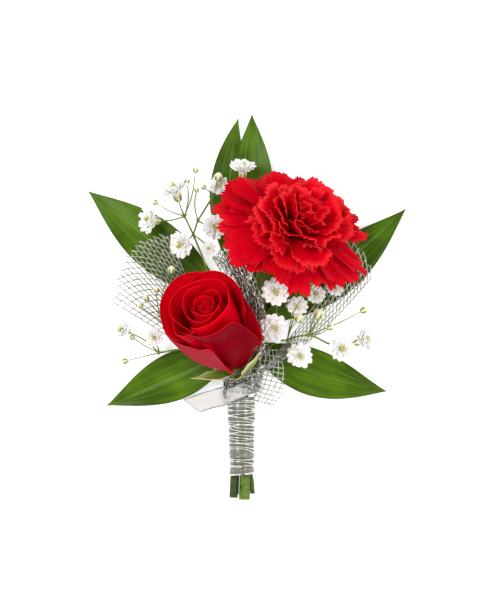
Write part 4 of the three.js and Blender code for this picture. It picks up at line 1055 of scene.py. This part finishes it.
def spray(name, lane, cut, parts):
    """One spray of baby's breath; cut is how far above the other stems its own ends in the handle."""
    node = "gypsophila_spray_" + name
    stems = Shape()
    petals = Shape()
    eyes = Shape()
    buds = Shape()
    parts["stems"][0][:0] = [lane_cut(lane, STEM_CUT_Y + cut), lane_at(lane, 0.5), lane_at(lane, 0)]
    for points in parts["stems"]:
        path = curve(points, 10 * len(points))
        tube(stems, path, 1.25 * TWIG_RADIUS, 9)
    for fork in parts["forks"]:
        turned(stems, [0.2, 0.5, 0.62, 0.5, 0.2], [-0.8, -0.45, 0, 0.45, 0.8], 10, fork, [0.1, 0.4, 0.2])
    for head in parts["heads"]:
        floret(petals, eyes, buds, head)
        behind = head["at"] - 0.36 * head["size"] * unit(np.array(head["look"], float))
        twig(stems, head["from"], behind, rng.uniform(-0.07, 0.07))
    for seed in parts["buds"]:
        bud(buds, seed["at"], seed["size"], np.subtract(seed["at"], seed["from"]))
        twig(stems, seed["from"], seed["at"], rng.uniform(-0.1, 0.1), 0.8 * TWIG_RADIUS)
    skin = made_of(green_skin, "twig_skin_" + name, "#4e6420", "#7c8c40", 1.5)
    stems.piece("spray_" + name + "_stems", skin, [node], "gypsophila")
    petals.piece("spray_" + name + "_florets", made_of(floret_petal_paper), [node], "gypsophila")
    eyes.piece("spray_" + name + "_eyes", made_of(pollen_eye), [node], "gypsophila")
    buds.piece("spray_" + name + "_buds", made_of(bud_striped), [node], "gypsophila")


def upper_spray():
    crook = [-21.4, 29, 14.6]
    fork = [-24.8, 36.2, 15.4]
    middle_fork = [-19.6, 34.6, 14.6]
    high_fork = [-13.4, 44.6, 12.6]
    spray("upper", UPPER_LANE, 6, {
        "stems": [
            [[-3.3, -33, 9.7], [-4.4, -30.8, 9], [-7.6, -27.4, 8.4], [-9.8, -23, 8.3], [-10.6, -14, 9.2],
             [-13, 2, 10.6], [-17, 18, 13.2], crook],
            [crook, fork],
            [crook, middle_fork],
            [middle_fork, high_fork],
        ],
        "forks": [crook, fork, middle_fork, high_fork],
        "heads": table(
            "at look size from",
            ([-28.8, 46.8, 17], [-0.3, 0.75, 0.5], 12.4, fork),
            ([-38.6, 35, 16], [-0.8, 0.1, 0.55], 10.8, fork),
            ([-26, 25.2, 17], [-0.5, -0.2, 0.8], 11.4, crook),
            ([-12.9, 32, 14], [0.1, 0, 1], 10.6, middle_fork),
            ([-11.2, 48.4, 12.6], [0, 0.3, 0.9], 8.6, high_fork),
            ([-1.6, 55.4, 15], [0.05, 0.9, 0.42], 10.2, high_fork),
            ([-15.2, 23.4, 15], [-0.3, 0.2, 0.9], 6.4, crook)),
        "buds": table(
            "at size from",
            ([-20.4, 54.6, 17], 2.6, fork),
            ([-23.8, 50.2, 16], 2.4, fork),
            ([-36.6, 41.8, 16], 2.4, fork),
            ([-20, 46.8, 17], 2.2, middle_fork),
            ([-17.4, 48, 15.4], 2.4, high_fork),
            ([-11.4, 51.8, 16.6], 3.6, high_fork)),
    })


def left_spray():
    fork = [-35, -18, 11.4]
    near = [-25.8, -16.8, 9.6]
    high = [-33.4, -6, 12.4]
    spray("left", LEFT_LANE, 8, {
        "stems": [
            [[-4.7, -30.3, 5.4], [-8.6, -27.6, 5.2], [-13.4, -22.8, 5.6], [-19.4, -19, 7.2], near, fork],
            [near, high],
        ],
        "forks": [near, fork, high],
        "heads": table(
            "at look size from",
            ([-49.6, -9, 13.6], [-0.7, 0.2, 0.65], 8.8, fork),
            ([-37, -12, 13.6], [-0.1, 0.2, 1], 8, fork)),
        "buds": table(
            "at size from",
            ([-45.8, -11.8, 13], 2.4, fork),
            ([-48.8, -21.4, 12], 2.8, fork),
            ([-42.4, 0.6, 16.4], 2.4, high),
            ([-40, 3.8, 17.4], 2.4, high),
            ([-36, 7, 18], 2.6, high),
            ([-30, 15, 18.6], 3, high)),
    })


def right_spray():
    low = [11, -14, 9.6]
    middle = [16, -12.8, 12.4]
    far = [24.4, -11, 14.4]
    outer = [32.8, -14.6, 15]
    spray("right", RIGHT_LANE, 9, {
        "stems": [
            [[-0.75, -31, 4.85], [2.4, -27.4, 4.6], [6.2, -22, 5.7], [8.4, -17.4, 7.8], low, middle, far,
             outer],
        ],
        "forks": [low, middle, far, outer],
        "heads": table(
            "at look size from",
            ([11.2, 6.2, 22], [0, -0.1, 1], 11.8, low),
            ([10.8, -8.2, 22], [0.05, -0.1, 1], 12, low),
            ([20.8, -19, 15.6], [0.05, -0.15, 1], 10.8, middle),
            ([37.2, -16.4, 16.6], [0.3, 0.2, 0.9], 11.4, outer),
            ([46.4, -12.8, 16], [0.75, 0.3, 0.55], 10.6, outer),
            ([27.2, 5.4, 18], [0.1, 0.1, 1], 8, far),
            ([20, 0.4, 16.6], [-0.1, 0, 1], 9, middle),
            ([34.6, 7.8, 16], [0.3, 0.3, 0.9], 8, far)),
        "buds": table(
            "at size from",
            ([28.4, -2.6, 18], 4.2, far),
            ([20.6, -4.4, 18], 3.6, middle),
            ([33.2, -7.8, 17.4], 2.8, far),
            ([26.2, 8.8, 23], 3, middle),
            ([46.4, -1, 17], 3.2, far)),
    })


# Net ribbon
def net_threads(shape, cloth_at, length, width, slant, pitch=NET_PITCH):
    """Two families of threads woven over and under; slant skews the mesh."""
    step = pitch * np.sqrt(1 + slant * slant)
    radius = NET_THREAD / 2
    cols = int(width / pitch)

    def lay(along, across, lift):
        small = 1e-3
        spot = cloth_at(along / length, 2 * across / width)
        ahead = cloth_at((along + small) / length, 2 * across / width)
        aside = cloth_at(along / length, 2 * (across + small) / width)
        return spot + lift[:, None] * unit(np.cross(ahead - spot, aside - spot))

    for i in range(cols + 1):
        across = (i - cols / 2) * pitch
        along = np.arange(0, length + 1e-6, 0.5 * step)
        lift = radius * np.cos(np.pi * ((along - slant * across) / step + i))
        tube(shape, lay(along, np.full_like(along, across), lift), radius, 5)
    reach = abs(slant) * width / 2
    for j in range(int(np.floor(-reach / step)), int(np.ceil((length + reach) / step)) + 1):
        across = np.arange(-width / 2, width / 2 + 1e-6, 0.5 * pitch)
        along = j * step + slant * across
        inside = (along >= 0) & (along <= length)
        if inside.sum() < 3:
            continue
        across = across[inside]
        along = along[inside]
        lift = -radius * np.cos(np.pi * (across / pitch + cols / 2 + j))
        tube(shape, lay(along, across, lift), radius, 5)


def net_piece(name, node, cloth_at, length, width, slant, material, curls=None,
              pitch=NET_PITCH):
    threads = Shape()
    net_threads(threads, cloth_at, length, width, slant, pitch)
    if curls:
        curls(threads)
    piece = threads.piece(name, material, [node], "net_silver")


def net_fan(fan):
    root, first, bulge, second, spread, bow = (
        np.array(fan[k], float) for k in ("root", "first", "bulge", "second", "spread", "bow"))

    def cloth_at(u, v):
        t = ((v + 1) / 2)[..., None]
        edge = (1 - t) ** 2 * first + 2 * t * (1 - t) * bulge + t * t * second
        start = root + v[..., None] * spread
        w = u[..., None]
        spot = start * (1 - w) + edge * w + np.sin(np.pi * w) * bow
        spot[..., 2] += fan["pleat"] * u * np.sin(fan["folds"] * np.pi * v)
        return spot

    return cloth_at


# The spread ends: their length, width and slant, the net's root and how far it runs to each side, the
# three points that its far edge bends by, how it bows, and the depth and number of its folds
NET_ENDS = table(
    "name node length width slant root spread first bulge second bow pleat folds",
    ("net_left_end", "net_left", 55, 42, -0.75, [-8.8, -26.4, 7], [-1, 2, 0.3],
     [-54, 2.4, 12], [-51, 29, 12.4], [-32.4, 29.6, 11.6], [1, 0.5, -1], 0.9, 2),
    ("net_right_end", "net_right", 62, 16, 0.4, [5.8, -25.6, 7.7], [1, 1.6, 0],
     [50.2, 12, 12], [49.6, 22, 11.6], [40, 29, 11], [3, -1.2, -0.6], 0.8, 1.5),
    ("net_lower_loop", "net_lower", 12, 25, 0.15, [3.8, -27, 9.6], [1.3, 10.6, 0.6],
     [10.4, -39.4, 7.6], [19.4, -32, 8.6], [12, -15.6, 10.4], [0, 0, 0.8], 0.5, 1.5))
# How many threads are pulled out of the bunched net, and how many points each has
GATHER_CURLS = 68
CRUMPLE_CURLS = 26
CURL_POINTS = 26
CRUMPLE_POINTS = 200


def crumple_at(u, v):
    path = curve([[3.8, -21, 12.2], [4.4, -10, 15], [1.6, 4, 17], [-4.4, 14, 17], [-11.6, 22.6, 14.6]],
                 CRUMPLE_POINTS)
    at = np.clip(u, 0, 1) * (CRUMPLE_POINTS - 1)
    k = np.minimum(at.astype(int), CRUMPLE_POINTS - 2)
    share = (at - k)[..., None]
    spot = path[k] * (1 - share) + path[k + 1] * share
    run = unit(path[k + 1] - path[k])
    across = unit(np.stack([-run[..., 1], run[..., 0], 0 * u], axis=-1))
    half = 2.2 + 3.4 * smooth(2 * u)
    fold = 1.9 * np.sin(7.5 * v + 2.2 * np.sin(7 * u)) * (0.6 + 0.4 * np.sin(17 * u))
    spot = spot - (half * v * 0.8 + 0.9 * np.sin(13 * u + 5 * v))[..., None] * across
    spot[..., 2] += half * v * 0.35 + fold
    return spot


def gather_at(u, v):
    """The net bunched round the stems: crumpled all over, wider and leaning right at its top."""
    angle = np.pi * v
    folds = 0.8 * np.sin(9 * angle + 5 * u) + 0.4 * np.sin(19 * angle - 9 * u)
    radius = 5.0 + folds + 1.6 * u ** 1.5
    y = -33.6 + 8.4 * u + 0.8 * np.sin(8 * angle + 4 * u)
    x = -2.0 + 0.8 * u + radius * np.sin(angle + 0.12 * np.sin(13 * angle + 8 * u))
    return np.stack([x, y, np.maximum(7.0 + radius * np.cos(angle), 0.5)], axis=-1)


def curled_thread(threads, place, size, dark):
    """A thread pulled out of the net, curled over on itself; place turns height and turn into a point, and
    dark paints the whole thread dark, a painted shade.
    """
    t = np.linspace(0, rng.uniform(4, 8), CURL_POINTS)
    start = rng.uniform(0, 6.3)
    along = size * np.sin(t + start) + 0.25 * size * np.sin(2.7 * t)
    aside = size * np.cos(1.1 * t + start) + 0.3 * t
    lift = 0.7 * np.sin(1.7 * t + 2 * start)
    tube(threads, place(along, aside, lift), 0.6 * NET_THREAD / 2, 6, tone=1 if dark else 0)


def gather_curls(threads):
    """Loose threads that curl over one another round the tying point."""
    for k in range(GATHER_CURLS):
        turn = rng.uniform(-np.pi, np.pi)
        middle = rng.uniform(-33.4, -24.8)

        def place(along, aside, lift, turn=turn, middle=middle):
            y = middle + along
            angle = turn + aside / 5.6
            share = np.clip((y + 37.2) / 12, 0, 1)
            radius = 6.5 + 1.2 * share + lift
            z = np.maximum(7.0 + radius * np.cos(angle), 0.4)
            return np.stack([-2.2 + share + radius * np.sin(angle), y, z], axis=-1)

        # Every third curl is painted dark all along, a painted shade among the bright ones
        curled_thread(threads, place, rng.uniform(0.9, 2.6), k % 3 == 0)


def crumple_curls(threads):
    """Loose threads in the shadow between the two blooms."""
    for k in range(CRUMPLE_CURLS):
        u = rng.uniform(0.05, 0.98)
        middle = crumple_at(np.array([u]), np.array([0.0]))[0]

        def place(along, aside, lift, middle=middle):
            return middle + np.stack([aside, 1.4 * along, lift + 0.6 * aside], axis=-1) + [0, 0, -1]

        # Every other thread is painted dark all along, painted shade for the shadow between the blooms
        curled_thread(threads, place, rng.uniform(1.2, 3.4), k % 2 == 0)


def net_ribbon():
    thread = made_of(metal, "net_thread_drawn", "#d2d2cc", 0.5, "#98988e")
    for end in NET_ENDS:
        net_piece(end["name"], end["node"], net_fan(end), end["length"], end["width"], end["slant"],
                  thread)
    # Bunched net: bright threads with strong duller patches, painted dark glints of crumpled metal
    bunched = made_of(metal, "net_thread_bunched", "#fcfcf6", 0.32, "#44443e")
    net_piece("net_middle_crumple", "net_crumple", crumple_at, 49, 26, 0.3,
              bunched, curls=crumple_curls)
    net_piece("net_gathers", "net_gather", gather_at, 16, 100, 0.3,
              bunched, curls=gather_curls, pitch=BUNCHED_PITCH)


# Sheer ribbon, handle tape and wire
def sheer_ribbon():
    cloth = Shape()
    cords = Shape()

    def tail(u, v):
        x = -8.7 - (13.3 + 3.2 * v) * u
        y = -35.4 + (3.7 - 1.2 * u) * v - 4.1 * u ** 1.3
        z = 6.6 - 2.6 * u + 0.7 * np.sin(5 * u) + 0.25 * np.sin(9 * u + 3 * v)
        return np.stack([x, y, z], axis=-1)

    def band(u, v):
        """Round the handle on a slant: its lower edge climbs from left to right across the front."""
        angle = 2 * np.pi * u
        radius = 6.1 + 0.3 * v + 0.2 * np.sin(7 * angle + 3 * v) + 0.12 * np.sin(13 * angle - 4 * v)
        x = radius * np.cos(angle)
        y = -33.2 + 0.42 * x + 2.8 * v
        return np.stack([-2.4 + x, y, 6.9 + radius * np.sin(angle)], axis=-1)

    blade(cloth, tail, 60, 16, RIBBON_THICK)
    blade(cloth, band, 96, 12, RIBBON_THICK)
    share = np.linspace(0, 1, 60)
    tube(cords, tail(np.full(20, 1.0), np.linspace(-1, 1, 20)), 0.14, 6)
    for edge in (-1, 1):
        for cloth_at in (tail, band):
            tube(cords, cloth_at(share, np.full(60, edge * 1.0)), RIBBON_EDGE_RADIUS, 8)
    sheer = cloth.piece("sheer_ribbon_cloth", made_of(sheer_weave), ["sheer_ribbon"], "sheer_white")
    edge_cord = made_of(metal, "ribbon_edge_wire", "#a8a8ac", 0.35, "#7c7c82")
    edges = cords.piece("sheer_ribbon_wired_edges", edge_cord, ["sheer_ribbon"], "sheer_white")


def wire_turns():
    """Where the wire lies, as an angle round the handle and a place along it: uneven turns in two
    groups, with pairs that cross and a bare stretch of wrapping between the groups."""
    knots = []
    for quarter in range(4 * WIRE_TURNS + 1):
        turn = quarter / 4
        y = FIRST_TURNS_Y - FIRST_PITCH * turn
        if turn >= FIRST_TURNS:
            past = turn - FIRST_TURNS
            y = SECOND_TURNS_Y - BARE_STRETCH * min(past, 1) - SECOND_PITCH * max(past - 1, 0)
        # A turn strays most at the sides, so that its two halves slope apart from the middle
        stray = (0.4, 1.1, 0.6, 1.1)[quarter % 4]
        knots.append([np.pi / 2 * quarter, y + rng.uniform(-stray, stray)])
    return curve(knots, 4 * WIRE_TURNS * 9)


def handle_point(angle, y, lift):
    """A point round the handle: angle 0 faces up, lift is measured from the wrapping."""
    share = (y - HANDLE_TOP[1]) / (HANDLE_END[1] - HANDLE_TOP[1])
    middle = HANDLE_TOP + share[..., None] * (HANDLE_END - HANDLE_TOP)
    radius = TAPE_TOP_RADIUS + (TAPE_END_RADIUS - TAPE_TOP_RADIUS) * share + lift
    spot = middle.copy()
    spot[..., 0] += radius * np.sin(angle)
    spot[..., 2] += radius * np.cos(angle)
    return spot


def handle_tape(turns):
    wrap = Shape()
    y = np.linspace(HANDLE_TOP[1] + 0.4, HANDLE_END[1], 220)
    angle = np.linspace(0, 2 * np.pi, 72, endpoint=False)
    y, angle = np.meshgrid(y, angle, indexing="ij")
    # The wrapping is nipped in under each turn of the wire and puckers between the turns
    near = np.full(y.shape, 9.0)
    wound = turns[:, 0] % (2 * np.pi)
    for row, around in enumerate(angle[0]):
        hit = np.abs((wound - around + np.pi) % (2 * np.pi) - np.pi) < 0.12
        near[:, row] = np.abs(y[:, row][:, None] - turns[hit, 1][None]).min(axis=1)
    nipped = -0.3 * np.exp(-(near / 0.45) ** 2)
    pucker = 0.1 * np.sin(9 * angle + 2.2 * y) * smooth(near) + 0.07 * np.sin(5 * angle - 3.4 * y)
    facing = (angle + np.pi) % (2 * np.pi) - np.pi
    seam = -0.8 * np.exp(-((facing - 0.02 * np.sin(y)) / 0.11) ** 2)
    seam = seam + 0.12 * np.exp(-((facing - 0.24) / 0.1) ** 2)
    rolled = 0.42 * np.exp(-((y - HANDLE_END[1] - 0.55) / 0.55) ** 2)
    ends = handle_point(np.zeros(2), np.array([y[0, 0], y[-1, 0]]), np.array([-4.7, -4.2]))
    close_rings(wrap, handle_point(angle, y, nipped + pucker + seam + rolled), ends,
                (-y, angle / (2 * np.pi)), [[0, 0.5], [0, 0.5]], way=1)
    wrap.piece("handle_wrap", made_of(satin_tape), ["handle_tape"], "tape_silver")


def silver_wire(turns):
    angle = turns[:, 0]
    facing = (angle + np.pi) % (2 * np.pi) - np.pi
    lift = 0.12 + 0.1 * np.sin(3.1 * angle) + 0.1 * np.sin(0.73 * angle + 1)
    lift = lift - 0.3 * np.exp(-(facing / 0.13) ** 2)
    path = handle_point(angle, turns[:, 1], lift)
    wire = Shape()
    tube(wire, path, WIRE_RADIUS, 10)
    # The last turn lies on the rolled edge of the wrapping
    around = np.linspace(0.2, 2 * np.pi - 0.1, 70)
    tube(wire, handle_point(around, HANDLE_END[1] + 0.3 + 0.5 * np.sin(around), np.full(70, 0.45)), 0.3, 10)
    bright = made_of(metal, "silver_wire_drawn", "#f2f2ee", 0.32, "#c8c8c2")
    wire.piece("wound_wire", bright, ["silver_wire"], "wire_silver")


make_camera()
make_studio()
ruscus_sprig()
rose_stem()
rose_bloom()
carnation_stem()
carnation_bloom()
upper_spray()
left_spray()
right_spray()
net_ribbon()
sheer_ribbon()
turns = wire_turns()
handle_tape(turns)
silver_wire(turns)
